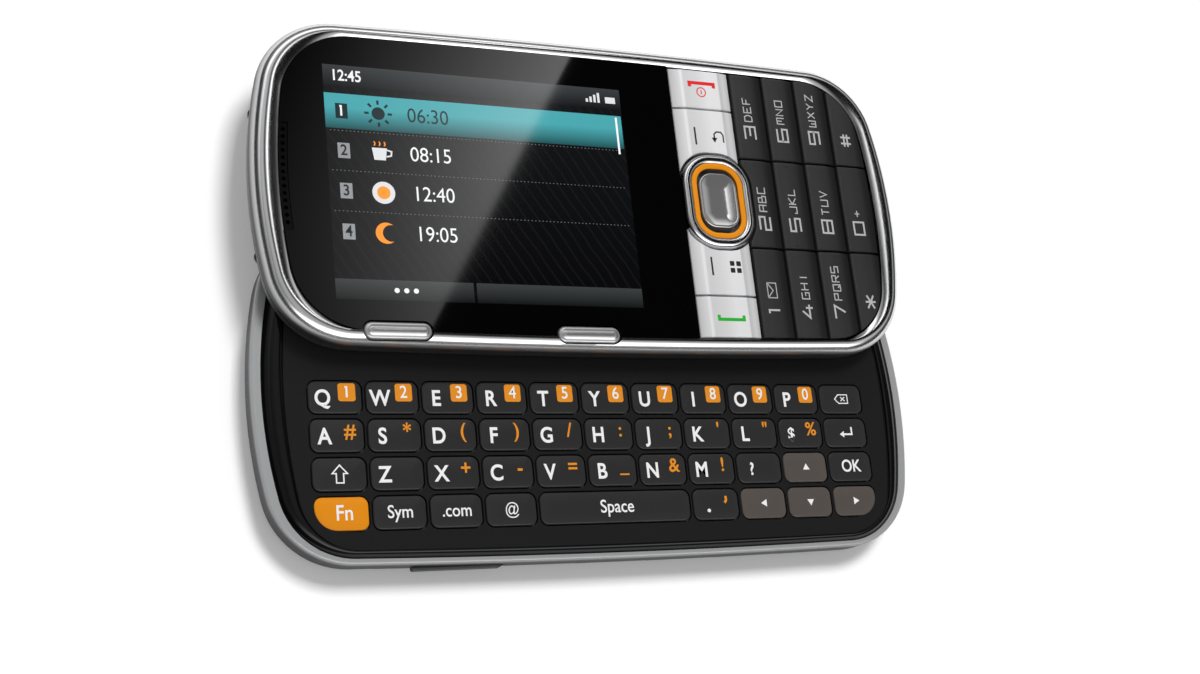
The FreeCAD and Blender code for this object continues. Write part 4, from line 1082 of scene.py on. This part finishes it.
class PHONE_OT_letter_legends(bpy.types.Operator):
    """Printed signs of the letter keys."""
    bl_idname = "phone.letter_legends"
    bl_label = "Signs of the letter keys"

    def execute(self, context):
        t = tints()
        self.white = flat_print("white_ink", t.legend)
        self.amber = flat_print("orange_ink", t.orange)
        self.first_row()
        self.second_row()
        self.third_row()
        self.fourth_row()
        self.arrows()
        return {"FINISHED"}

    def letter(self, text, column, row, dx=-1.95, dy=-0.25, height=2.5, bold=0.03, span=1):
        """A letter or a word at the left of a key, or moved by dx and dy from its middle."""
        return settled(word(text, height, dx, dy, 0, bold=bold, narrow=0.88), column, row, span)

    def sign(self, text, column, row):
        """A second sign at the right of a key."""
        return settled(word(text, 2.3, 1.9, 0.55, 0, bold=0.02, narrow=0.95), column, row)

    def first_row(self):
        """Letters, and numbers on orange tiles."""
        white = [self.letter(text, column, 0) for column, text in enumerate(LETTER_ROWS[0])]
        white.append(self.backspace(10, 0))
        tiles, spot, lift = [], (1.75, 0.72), 1.5 * PRINT
        for column in range(10):
            loop = oblong_ring(1.33, 1.38, 0.42, 0, spot)
            tiles.append(settled(slab(loop), column, 0))
            digit = str((column + 1) % 10)
            if digit == "1":
                form = square_word(digit, 1.6, 1.2, 0, 0.3, 1.15, spot[1], lift, 0)
            else:
                form = word(digit, 2.0, *spot, lift, bold=0.012)
            white.append(settled(form, column, 0))
        inked("row_1_letters", white, "key_row_1", self.white)
        inked("row_1_tiles", tiles, "key_row_1", self.amber)

    def backspace(self, column, row):
        """An arrow-shaped outline with a cross."""
        outline = [(-1.3, 0), (-0.6, 0.75), (1.2, 0.75), (1.2, -0.75), (-0.6, -0.75)]
        cross = stroke([(-0.15, -0.35), (0.65, 0.35)], 0.17)
        forms = [stroke(outline, 0.17, True), stroke([(-0.15, 0.35), (0.65, -0.35)], 0.17),
                 placed(cross, 0, 0, 0.2 * PRINT)]
        return settled(joined(forms), column, row)

    def second_row(self):
        """Letters, the enter arrow and orange signs."""
        white = [self.letter(text, column, 1) for column, text in enumerate(LETTER_ROWS[1])]
        white.append(self.letter("$", 9, 1, height=2.1))
        enter = stroke([(1.1, 0.95), (1.1, -0.3), (-0.6, -0.3)], 0.3)
        head = placed(slab([(-1.25, -0.3), (-0.45, 0.25), (-0.45, -0.85)]), 0, 0, 0.2 * PRINT)
        white.append(settled(joined([enter, head]), 10, 1))
        amber = [self.sign(text, column, 1) for column, text in enumerate(ORANGE_SIGNS[1])]
        amber.append(self.sign("%", 9, 1))
        inked("row_2_letters", white, "key_row_2", self.white)
        inked("row_2_signs", amber, "key_row_2", self.amber)

    def third_row(self):
        """Letters, the shift arrow and orange signs."""
        white = [self.letter(text, column + 1, 2) for column, text in enumerate(LETTER_ROWS[2])]
        white.append(self.letter("?", 8, 2, -1.5, height=2.1))
        white.append(self.letter("OK", 10, 2, 0.0, 0.0, 2.1, 0.02))
        shift = [(0, 1.35), (1.15, 0.1), (0.55, 0.1), (0.55, -1.3), (-0.55, -1.3),
                 (-0.55, 0.1), (-1.15, 0.1)]
        white.append(settled(stroke(shift, 0.2, True), 0, 2))
        amber = [self.sign(text, column + 2, 2) for column, text in enumerate(ORANGE_SIGNS[2])]
        inked("row_3_letters", white, "key_row_3", self.white)
        inked("row_3_signs", amber, "key_row_3", self.amber)

    def fourth_row(self):
        """Key words, the point and the comma."""
        white = [self.letter("Sym", 1, 3, 0, 0, 2.0, 0.01),
                 self.letter(".com", 2, 3, 0, 0, 2.0, 0.01),
                 self.letter("@", 3, 3, 0, 0, 1.9, 0.0),
                 settled(slab(circle(0.3, 20)[:-1] + (-1.5, -1.0)), 7, 3)]
        comma = stroke([(1.75, 1.3), (1.75, 0.6), (1.45, 0.2)], 0.42)
        inked("row_4_letters", white, "key_row_4", self.white)
        inked("row_4_signs", [settled(comma, 7, 3)], "key_row_4", self.amber)
        fn = self.letter("Fn", 0, 3, 0.35, 0, 2.35, 0.015)
        inked("function_letters", [fn], "function_key", self.white)
        space = self.letter("Space", 4, 3, 0, 0, 2.1, 0.01, 3)
        inked("space_letters", [space], "space_key", self.white)

    def arrows(self):
        """One arrow head on each arrow key."""
        forms = []
        for column, row, angle in ((9, 2, 0), (8, 3, 90), (9, 3, 180), (10, 3, 270)):
            head = slab([(0, 0.62), (-0.62, -0.42), (0.62, -0.42)])
            forms.append(settled(placed(head, 0, 0, 0, angle), column, row))
        inked("arrow_signs", forms, "arrow_keys", self.white)


def nav_outline(grow):
    """Half height of the navigation ring's outline at a given x, grown by a gap."""
    cx, cy = (NAV_LOW[:2] + NAV_HIGH[:2]) / 2
    half_x, half_y = (NAV_HIGH[:2] - NAV_LOW[:2]) / 2 + grow
    radius = sizes().ring_radius + grow

    def half_height(x):
        """Half height of the outline at x, and 0 outside it."""
        away = abs(x - cx)
        if away >= half_x:
            return 0.0
        over = away - (half_x - radius)
        if over <= 0:
            return half_y
        return half_y - radius + math.sqrt(max(radius ** 2 - over ** 2, 0.0))
    return cx, cy, half_height


def field_edge(inset):
    """Half height of the field at a given x."""
    loop = bowed_ring(field_dims(), inset)
    top = loop[loop[:, 1] >= 0]
    order = np.argsort(top[:, 0])
    xs, ys = top[order, 0], top[order, 1]

    def height(x):
        """The upper line's height at x."""
        return float(np.interp(x, xs, ys))
    return height


def face_tile(x0, x1, y0, y1, height_of):
    """A key beside the screen: y0 and y1 are its straight limits, cut by field and ring."""
    gap = sizes().gap
    edge_of = field_edge(gap)
    _, cy, ring_half = nav_outline(RING_GAP)

    def low(x):
        """Lower limit at x."""
        value = max(y0 + gap / 2, FIELD_Y - edge_of(x))
        if y0 >= cy - 0.01 and y1 > cy and ring_half(x) > 0:
            value = max(value, cy + ring_half(x))
        return value

    def high(x):
        """Upper limit at x."""
        value = min(y1 - gap / 2, FIELD_Y + edge_of(x))
        if y1 <= cy + 0.01 and ring_half(x) > 0:
            value = min(value, cy - ring_half(x))
        return max(value, low(x) + 0.02)

    return tile(x0 + gap / 2, x1 - gap / 2, low, high, height_of, FACE_BOTTOM, FACE_EDGE)


def facet(share, _):
    """Height across a silver key: a wide left bevel, a flat top and a narrow right bevel."""
    left = np.clip((0.20 - share) / 0.20, 0, 1)
    right = np.clip((share - 0.84) / 0.16, 0, 1)
    return FACE_TOP - 0.42 * left - 0.30 * right


def ridge(share, _):
    """Height across a number key: flat, then falling away to the right."""
    part = np.clip((share - 0.60) / 0.40, 0, 1)
    left = np.clip((0.10 - share) / 0.10, 0, 1)
    return FACE_TOP - sizes().ridge * part ** 1.3 - 0.12 * left ** 2


# Brightness painted across a silver key, as highlights and shade, and across a number key, as
# shade towards its right, as share and factor.
SILVER_PAINTED_LIGHT = ((0, 0.62), (0.17, 0.86), (0.19, 1.0), (0.215, 0.98), (0.24, 0.80), (0.45, 0.88),
                (0.62, 1.0), (0.80, 1.0), (0.82, 0.66), (0.90, 0.80), (1, 0.55))
NUMBER_PAINTED_SHADE = ((0, 1.0), (0.30, 1.0), (0.62, 0.75), (0.80, 0.28), (1, 0.12))


class PHONE_OT_face_keys(bpy.types.Operator):
    """Silver keys and number keys beside the screen."""
    bl_idname = "phone.face_keys"
    bl_label = "Keys beside the screen"

    def execute(self, context):
        x0 = END_LOW[0] - sizes().gap / 2
        x1 = END_HIGH[0] + sizes().gap / 2
        split = END_LOW[1] - sizes().gap / 2
        up = split - FIELD_Y
        far = 60.0  # beyond the field, which cuts the outer keys
        # The silver keys carry painted highlights and shade in bands across each key.
        silver = painted_light_bands("silver_key", "silver_painted_light", x0, x1 - x0, SILVER_PAINTED_LIGHT)
        for node, y0, y1 in (("end_key", FIELD_Y + up, FIELD_Y + far),
                             ("back_rocker", FIELD_Y, FIELD_Y + up),
                             ("menu_rocker", FIELD_Y - up, FIELD_Y),
                             ("talk_key", FIELD_Y - far, FIELD_Y - up)):
            form = face_tile(x0, x1, y0, y1, facet)
            obj = piece(node + "_cap", [form], node, silver, (node,), sharp=12.0)
        self.number_keys(far)
        self.signs(x0, x1, split)
        return {"FINISHED"}

    def number_keys(self, far):
        """Four columns of three keys, from the screen to the right end."""
        gap = sizes().gap
        split = (KEY_3_LOW[1] - gap / 2) - FIELD_Y
        rows = (FIELD_Y - far, FIELD_Y - split, FIELD_Y + split, FIELD_Y + far)
        names = (("key_1", "key_2", "key_3"), ("key_4", "key_5", "key_6"),
                 ("key_7", "key_8", "key_9"), ("star_key", "key_0", "hash_key"))
        pitch = node_mm("key_4")[0][0] - KEY_1_LOW[0]
        # The number keys carry painted shade that darkens towards each key's right edge.
        dark = painted_light_bands("number_key", "number_key_painted_shade", KEY_1_LOW[0] - gap / 2, pitch,
                             NUMBER_PAINTED_SHADE)
        for column in names:
            for row, node in enumerate(column):
                low, high = node_mm(node)
                if node == "key_2":
                    low = np.array([node_mm("key_1")[0][0], low[1], low[2]])
                form = self.number_form(node, low, high, rows[row], rows[row + 1])
                obj = piece(node + "_cap", [form], node, dark, (node,), sharp=25.0)

    def number_form(self, node, low, high, y0, y1):
        """The form of one number key, by where it lies."""
        gap = sizes().gap
        x0, x1 = low[0] - gap / 2, high[0] + gap / 2
        if node == "key_2":
            return self.notched(x0, x1, y0, y1)
        if node == "key_0":
            return self.bowed_right(x0, y0, y1)
        return face_tile(x0, x1, y0, y1, ridge)

    def notched(self, x0, x1, y0, y1):
        """The key whose left edge follows the ring: the grid is laid sideways."""
        gap = sizes().gap
        cx, cy, _ = nav_outline(RING_GAP)
        half_x, half_y = (NAV_HIGH[:2] - NAV_LOW[:2]) / 2 + RING_GAP
        radius = sizes().ring_radius + RING_GAP

        def ring_right(y):
            """Right limit of the ring at y."""
            over = abs(y - cy) - (half_y - radius)
            if over <= 0:
                return cx + half_x
            return cx + half_x - radius + math.sqrt(max(radius ** 2 - over ** 2, 0.0))

        return self.sideways(y0 + gap / 2, y1 - gap / 2,
                             lambda y: max(x0 + gap / 2, ring_right(y)),
                             lambda y: x1 - gap / 2, x0, x1)

    def bowed_right(self, x0, y0, y1):
        """The key whose right edge follows the field's bowed end."""
        gap = sizes().gap
        loop = bowed_ring(field_dims(), gap)
        right = loop[loop[:, 0] > 0]
        order = np.argsort(right[:, 1])
        ys, xs = right[order, 1], right[order, 0]
        x1 = xs.max()
        return self.sideways(y0 + gap / 2, y1 - gap / 2, lambda y: x0 + gap / 2,
                             lambda y: float(np.interp(y - FIELD_Y, ys, xs)), x0, x1)

    def sideways(self, y0, y1, left_of, right_of, x0, x1):
        """A tile made with x and y swapped, then swapped back."""
        def height(_, across):
            """Height at the place across the key."""
            return ridge((across - x0) / (x1 - x0), 0)

        points, faces = tile(y0, y1, left_of, right_of, height, FACE_BOTTOM, FACE_EDGE)
        points = points[:, (1, 0, 2)]
        return points, [face[::-1] for face in faces]

    def signs(self, x0, x1, split):
        """Call signs, soft-key bars, a back arrow and a group of squares."""
        t = tints()
        z = SIGN_Z
        middle = (x0 + x1) / 2
        red = flat_print("red_ink", t.red)
        green = flat_print("green_ink", t.green)
        black = flat_print("black_ink", (0.012, 0.012, 0.012))
        top_y, low_y = split + 3.9, 2 * FIELD_Y - split - 3.9
        handset = [(-2.3, -0.75), (-2.3, 0.0), (2.3, 0.0), (2.3, -0.75)]
        forms = [placed(stroke(handset, 0.62), middle + 0.3, top_y + 0.9, z),
                 placed(stroke(circle(0.82, 28)[:-1], 0.2, True), middle + 0.1, top_y - 0.75, z),
                 placed(stroke([(0, -0.35), (0, 0.35)], 0.2), middle + 0.1, top_y - 0.75, z)]
        inked("end_sign", forms, "end_key", red)
        cradle = [(-2.3, 0.75), (-2.3, 0.0), (2.3, 0.0), (2.3, 0.75)]
        inked("talk_sign", [placed(stroke(cradle, 0.55), middle + 0.3, low_y - 0.2, z)],
              "talk_key", green)
        hook = [(1.0, -0.9), (1.0, 0.5), (0.6, 1.0), (-0.2, 1.0), (-0.7, 0.55), (-0.7, -0.4)]
        head = slab([(-0.7, -1.0), (-1.25, -0.1), (-0.15, -0.1)])
        bar = stroke([(0, -1.6), (0, 1.6)], 0.32)
        back_y, menu_y = FIELD_Y + 11.6, FIELD_Y - 11.6
        forms = [placed(bar, middle - 2.1, back_y, z),
                 placed(stroke(hook, 0.26), middle + 2.2, back_y, z),
                 placed(head, middle + 2.2, back_y, z)]
        inked("back_signs", forms, "back_rocker", black)
        forms = [placed(bar, middle - 2.1, menu_y, z)]
        for dx in (-0.6, 0.6):
            for dy in (-0.6, 0.6):
                square = oblong_ring(0.42, 0.42, 0.1, 0, (dx, dy))
                forms.append(placed(slab(square), middle + 2.3, menu_y, z))
        inked("menu_signs", forms, "menu_rocker", black)


NUMBER_SIGNS = {
    "key_3": ("3", "DEF"), "key_6": ("6", "MNO"), "key_9": ("9", "WXYZ"),
    "hash_key": ("#", ""), "key_2": ("2", "ABC"), "key_5": ("5", "JKL"),
    "key_8": ("8", "TUV"), "key_0": ("0", "+"), "key_1": ("1", ""),
    "key_4": ("4", "GHI"), "key_7": ("7", "PQRS"), "star_key": ("*", ""),
}


class PHONE_OT_number_legends(bpy.types.Operator):
    """Printed signs of the number keys, read with the phone upright."""
    bl_idname = "phone.number_legends"
    bl_label = "Signs of the number keys"

    # Height, width, advance and weight of a number and of the letters beside it.
    digit_sizes = (2.0, 2.3, 0, 0.33)
    letter_sizes = (1.4, 1.1, 1.62, 0.19)

    def execute(self, context):
        grey = flat_print("grey_ink", tints().grey_legend)
        gap = sizes().gap
        length = KEY_1_HIGH[0] - KEY_1_LOW[0]
        for node, (digit, letters) in NUMBER_SIGNS.items():
            low, high = node_mm(node)
            x = low[0] + length * 0.42
            if node == "key_2":
                x = KEY_1_LOW[0] + length * 0.5
            y = FIELD_Y - 3.4
            if low[1] > FIELD_Y:
                y = low[1] + 4.6 + gap
            elif high[1] < FIELD_Y:
                y = high[1] - (8.6 if node == "star_key" else 10.6)
            start = y - 1.3
            forms = [square_word(digit, *self.digit_sizes, x, start, SIGN_Z, 90)]
            if letters:
                forms.append(square_word(letters, *self.letter_sizes, x, start + 3.3, SIGN_Z,
                                         90))
            if node == "key_5":
                self.nubs(x, low, high)
            if node == "key_1":
                forms.append(self.envelope(x, start + 4.6, SIGN_Z))
            inked(node + "_signs", forms, node, grey)
        return {"FINISHED"}

    def nubs(self, x, low, high):
        """Two small bumps that fingers find, near the ends of the middle key."""
        bumps = [capped(0.42, 0.2, 0.19, (x, y), FACE_TOP - 0.2, FACE_TOP + 0.2, edge=0.1,
                        crown=0.05, rows=4) for y in (low[1] + 0.75, high[1] - 0.75)]
        piece("middle_key_nubs", bumps, "key_5", slot_material("number_key"))

    def envelope(self, x, y, z):
        """The outline of an envelope with its flap."""
        box = stroke([(-1.3, -0.85), (1.3, -0.85), (1.3, 0.85), (-1.3, 0.85)], 0.16, True)
        flap = stroke([(-1.3, 0.85), (0, -0.2), (1.3, 0.85)], 0.16)
        return joined([placed(box, x, y, z, 90), placed(flap, x, y, z, 90)])


def banded(half, radius, centre, profile, wrap=True):
    """A surface round a middle: each (inset, height) of the profile is one rounded loop."""
    rings = [at_height(oblong_ring(*half, radius, inset, centre, 20), z)
             for inset, z in profile]
    return lofted(rings, wrap)


class PHONE_OT_navigation(bpy.types.Operator):
    """Navigation ring with its orange inlay, and the select button."""
    bl_idname = "phone.navigation"
    bl_label = "Navigation ring and button"

    def execute(self, context):
        centre = (NAV_LOW[:2] + NAV_HIGH[:2]) / 2
        half = (NAV_HIGH[:2] - NAV_LOW[:2]) / 2
        button_half = (SELECT_HIGH[:2] - SELECT_LOW[:2]) / 2
        radius = sizes().ring_radius
        top = NAV_HIGH[2]
        wide = half[0] - button_half[0] - 0.3
        outer = [(0.0, FACE_BOTTOM), (0.0, top - 1.0)]
        for turn in np.linspace(0, math.pi / 2, 9)[1:]:
            outer.append((0.85 * (1 - math.cos(turn)), top - 1.0 + math.sin(turn)))
        outer += [(1.25, top - 0.03), (1.45, top - 0.10), (1.60, top - 0.22)]
        inner = [(1.62, top - 0.75), (wide, top - 0.75), (wide, FACE_BOTTOM)]
        ring = piece("navigation_rim", [banded(half, radius, centre, outer + inner)],
                     "navigation_ring", slot_material("silver_paint"), ("navigation_ring",))
        lift = top - 0.33
        inlay = [(1.68, lift - 0.1), (1.70, lift + 0.06), (1.95, lift + 0.14),
                 (2.25, lift + 0.12), (wide - 0.04, lift - 0.02), (wide - 0.02, lift - 0.25),
                 (1.70, lift - 0.25)]
        piece("navigation_inlay", [banded(half, radius, centre, inlay)],
              "navigation_ring", slot_material("orange_key"))
        rim, rounding, dish = SELECT_HIGH[2], 0.25, 0.45
        profile = [(0, FACE_BOTTOM)]
        for turn in np.linspace(0, math.pi / 2, 5):
            profile.append((rounding * (1 - math.cos(turn)),
                            rim - rounding * (1 - math.sin(turn))))
        for share in np.linspace(0, 1, 12)[1:]:
            profile.append((rounding + (button_half[0] * 0.95 - rounding) * share,
                            rim - dish * share * (2 - share)))
        form = banded(button_half, sizes().select_radius, centre, profile, wrap=False)
        button = piece("select_cap", [form], "select_button",
                       finish("dark_mirror", (0.54, 0.54, 0.545), 0.10, 0.75, depth=0.0,
                              spread=0.02, coat=0.6), ("select_button",))
        return {"FINISHED"}


class PHONE_OT_soft_keys(bpy.types.Operator):
    """The two slim keys on the lower edge of the window."""
    bl_idname = "phone.soft_keys"
    bl_label = "Landscape soft keys"

    def execute(self, context):
        for node, (x, y, extent) in zip(("left_soft_key", "right_soft_key"), soft_key_spots()):
            low, high = node_mm(node)
            half_x, half_y = extent[0] / 2, extent[1] / 2
            form = capped(half_x, half_y, half_y - 0.01, (x, y), low[2], high[2],
                          edge=0.5, crown=0.34)
            key = piece(node + "_cap", [form], node,
                        finish("pill_metal", (0.46, 0.46, 0.465), 0.20, 0.7, depth=0.0),
                        (node,))
        return {"FINISHED"}


class PHONE_OT_screen(bpy.types.Operator):
    """What the lit screen shows: a clock list with plain numbers and simple pictures."""
    bl_idname = "phone.screen"
    bl_label = "Screen"

    left = -44.9
    right = 5.2
    half = 19.0
    row_pitch = 6.55
    title_height = 3.6
    soft_height = 3.2
    bar_half = 2.9

    def execute(self, context):
        self.z = WINDOW_HIGH[2] + 0.012
        self.top = FIELD_Y - 0.2 + self.half
        self.bottom = FIELD_Y - 0.2 - self.half
        self.lit_field()
        self.bars()
        self.lines()
        self.numbers()
        self.pictures()
        return {"FINISHED"}

    def show(self, name, forms, colour, glow=0.35):
        """A lit piece of the picture in one colour."""
        ink = flat_print(name + "_light", colour, 0.06, glow)
        return inked(name, forms, "display_half", ink)

    def plate(self, x0, x1, y0, y1, lift=0.0, radius=0.02):
        """A thin rectangle of the picture between two corners."""
        loop = oblong_ring((x1 - x0) / 2, (y1 - y0) / 2, radius, 0,
                           ((x0 + x1) / 2, (y0 + y1) / 2), 5)
        return placed(slab(loop, 0.01), 0, 0, self.z + lift)

    def row_y(self, row):
        """Middle of a row of the list."""
        return self.top - 4.0 - self.row_pitch * (row + 0.5) - 0.4

    def shaded(self, name, low, high, axis, span, glow, streak=0.0):
        """A lit area whose colour runs from low to high along one axis of the phone.

        Faint slanted streaks lie over it where a streak strength is given.
        """
        n = Nodes(name)
        n.set(rough=0.05, glow=glow)
        where = n.place()
        share = n.span(n.axis(where, axis), span[0] * MM, span[1] * MM)
        result = n.blend(share, low, high)
        if streak:
            turned = n.add("ShaderNodeMapping", {"Vector": where,
                                                 "Rotation": (0, 0, math.radians(-32))})
            wave = n.add("ShaderNodeTexWave", {"Vector": turned.outputs["Vector"],
                                               "Scale": 190.0, "Distortion": 2.0,
                                               "Detail": 2.0, "Detail Scale": 0.6})
            share = n.span(wave.outputs["Fac"], 0.86, 1.0, 0.0, streak)
            mixed = n.add("ShaderNodeMix", {"Factor": share}, data_type="RGBA")
            n.tree.links.new(result, mixed.inputs[6])
            mixed.inputs[7].default_value = (0.25, 0.25, 0.26, 1.0)
            result = mixed.outputs[2]
        n.link(result, "Base Color")
        n.link(result, "Emission Color")
        return n.material

    def lit_field(self):
        """The dark field behind the list."""
        field = self.plate(self.left, self.right, self.bottom, self.top)
        look = self.shaded("screen_field_light", (0.002, 0.002, 0.0025), (0.006, 0.0065, 0.007),
                           "Y", (self.bottom, self.top), 0.3, 0.014)
        inked("screen_field", [field], "display_half", look)

    def bars(self):
        """Title bar, highlighted row and the two bars at the lower edge."""
        y = self.row_y(0)
        title_y = self.top - self.title_height
        soft_y = self.bottom + self.soft_height
        gap = 0.25
        middle = (self.left + self.right) / 2 - 3.2
        title = self.plate(self.left, self.right, title_y, self.top, 0.01)
        grey = self.shaded("title_bar_light", (0.006, 0.007, 0.008), (0.030, 0.034, 0.036),
                           "Y", (title_y, self.top), 0.5)
        inked("title_bar", [title], "display_half", grey)
        bar = self.plate(self.left, self.right - 0.2, y - self.bar_half, y + self.bar_half, 0.01)
        deep = [value * 0.22 for value in tints().teal]
        look = self.shaded("highlight_light", deep, tints().teal, "Y",
                           (y - self.bar_half, y + 0.6), 0.35)
        inked("highlight_bar", [bar], "display_half", look)
        soft = [self.plate(self.left, middle - gap, self.bottom, soft_y, 0.01),
                self.plate(middle + gap, self.right, self.bottom, soft_y, 0.01)]
        grey = self.shaded("soft_bar_light", (0.005, 0.006, 0.006), (0.032, 0.035, 0.036),
                           "Y", (self.bottom, soft_y), 0.5)
        inked("soft_bars", soft, "display_half", grey)

    def lines(self):
        """Dotted lines between the rows, and the scroll bar."""
        dots = []
        for row in range(1, 4):
            y = self.row_y(row) + self.row_pitch / 2
            for x in np.arange(self.left + 0.6, self.right - 0.6, 0.62):
                dots.append(self.plate(x, x + 0.22, y - 0.06, y + 0.06, 0.015))
        self.show("row_dots", dots, (0.11, 0.115, 0.12))
        bar = [self.plate(3.9, 4.25, self.row_y(0) - 3.9, self.row_y(0) + 2.6, 0.025)]
        self.show("scroll_bar", bar, (0.75, 0.77, 0.78))

    def numbers(self):
        """A number on a tile and a clock time in each row; the first row is dark on light."""
        white, tiles, dark, deep = [], [], [], []
        for row, text in enumerate(("06:30", "08:15", "12:40", "19:05")):
            y = self.row_y(row)
            x = self.left + 2.6
            tile = self.plate(x - 0.95, x + 0.95, y - 1.25, y + 1.25, 0.02)
            if row == 0:
                digit = square_word("1", 1.6, 1.0, 0, 0.3, x - 0.55, y, self.z + 0.035, 0)
            else:
                digit = word(str(row + 1), 1.8, x, y, self.z + 0.035, bold=0.02)
            time = word(text, 2.5, self.left + 13.0, y, self.z + 0.03, bold=-0.004,
                        align="LEFT", narrow=0.9)
            if row == 0:
                deep += [tile, time]
                white.append(digit)
            else:
                tiles.append(tile)
                dark.append(digit)
                white.append(time)
        self.show("deep_signs", deep, (0.012, 0.030, 0.034), 0.0)
        white.append(word("12:45", 1.9, self.left + 1.2, self.top - 1.8, self.z + 0.03,
                          bold=0.02, align="LEFT", narrow=0.85))
        low_y = self.bottom + 1.6
        for dx in (0.0, 1.5, 3.0):
            white.append(self.plate(self.left + 9 + dx, self.left + 9.8 + dx, low_y - 0.4,
                                    low_y + 0.4, 0.02, 0.38))
        self.show("screen_numbers", white, (0.72, 0.73, 0.74))
        self.show("number_tiles", tiles, (0.24, 0.25, 0.26))
        self.show("tile_numbers", dark, (0.02, 0.02, 0.022), 0.0)

    def pictures(self):
        """A sun, a cup, a plate and a moon, one beside each time."""
        x = self.left + 8.4
        z = self.z + 0.03
        grey, amber = [], []
        y = self.row_y(0)
        sun = [placed(slab(circle(1.05, 28)[:-1]), x, y, z)]
        for index in range(8):
            ray = stroke([(1.5, 0), (2.2, 0)], 0.36)
            sun.append(placed(ray, x, y, z, index * 45))
        self.show("sun_sign", sun, (0.012, 0.030, 0.034), 0.0)
        y = self.row_y(1)
        cup = [(-1.4, 0.8), (1.0, 0.8), (0.7, -1.2), (-1.1, -1.2)]
        grey.append(placed(slab(cup), x, y, z))
        grey.append(placed(stroke([(1.0, 0.5), (1.7, 0.3), (1.6, -0.4), (0.85, -0.6)], 0.25),
                           x, y, z))
        for dx in (-0.8, 0.0, 0.8):
            steam = stroke([(dx, 1.15), (dx + 0.15, 1.5), (dx, 1.85)], 0.2)
            amber.append(placed(steam, x - 0.2, y, z))
        y = self.row_y(2)
        grey.append(placed(slab(circle(1.8, 36)[:-1]), x, y, z))
        amber.append(placed(slab(circle(1.05, 30)[:-1]), x, y, z + 0.02))
        y = self.row_y(3)
        outer = circle(1.7, 26, math.radians(50), math.radians(310))
        inner = circle(1.347, 24, math.radians(281), math.radians(79)) + (0.75, 0)
        amber.append(placed(slab(np.concatenate([outer, inner])), x, y, z))
        self.show("pictures_pale", grey, (0.60, 0.61, 0.62))
        self.show("pictures_amber", amber, (0.86, 0.26, 0.02))
        bars = []
        for index in range(4):
            bx = self.right - 6.2 + index * 0.7
            bars.append(self.plate(bx, bx + 0.42, self.top - 2.6,
                                   self.top - 2.0 + index * 0.38, 0.02))
        bars.append(self.plate(self.right - 2.7, self.right - 0.9, self.top - 2.6,
                               self.top - 1.5, 0.02))
        self.show("status_signs", bars, (0.6, 0.61, 0.62))


STEPS = (PHONE_OT_stage, PHONE_OT_solids, PHONE_OT_bezel, PHONE_OT_lower_rims,
         PHONE_OT_letter_keys, PHONE_OT_letter_legends, PHONE_OT_face_keys,
         PHONE_OT_number_legends, PHONE_OT_navigation, PHONE_OT_soft_keys, PHONE_OT_screen)


class PHONE_PT_looks(bpy.types.Panel):
    """Lists the steps in the sidebar."""
    bl_label = "Slider phone"
    bl_idname = "PHONE_PT_looks"
    bl_space_type = "VIEW_3D"
    bl_region_type = "UI"
    bl_category = "Slider phone"

    def draw(self, context):
        """One button for each step."""
        for step in STEPS:
            self.layout.operator(step.bl_idname, text=step.bl_label)


GROUPS = {"phone_shape": PhoneShape, "key_sizes": KeySizes, "finishes": Finishes,
          "studio_set": StudioSet}


def register():
    """Registers the groups of values, the steps and the panel."""
    for group in GROUPS.values():
        bpy.utils.register_class(group)
    for name, group in GROUPS.items():
        setattr(bpy.types.Scene, name, bpy.props.PointerProperty(type=group))
    for step in STEPS:
        bpy.utils.register_class(step)
    bpy.utils.register_class(PHONE_PT_looks)


def unregister():
    """Takes back what register did."""
    bpy.utils.unregister_class(PHONE_PT_looks)
    for step in reversed(STEPS):
        bpy.utils.unregister_class(step)
    for name, group in GROUPS.items():
        delattr(bpy.types.Scene, name)
        bpy.utils.unregister_class(group)


def main():
    """Runs every step in order."""
    register()
    for step in STEPS:
        group, name = step.bl_idname.split(".")
        getattr(getattr(bpy.ops, group), name)()


if __name__ == "__main__":
    main()
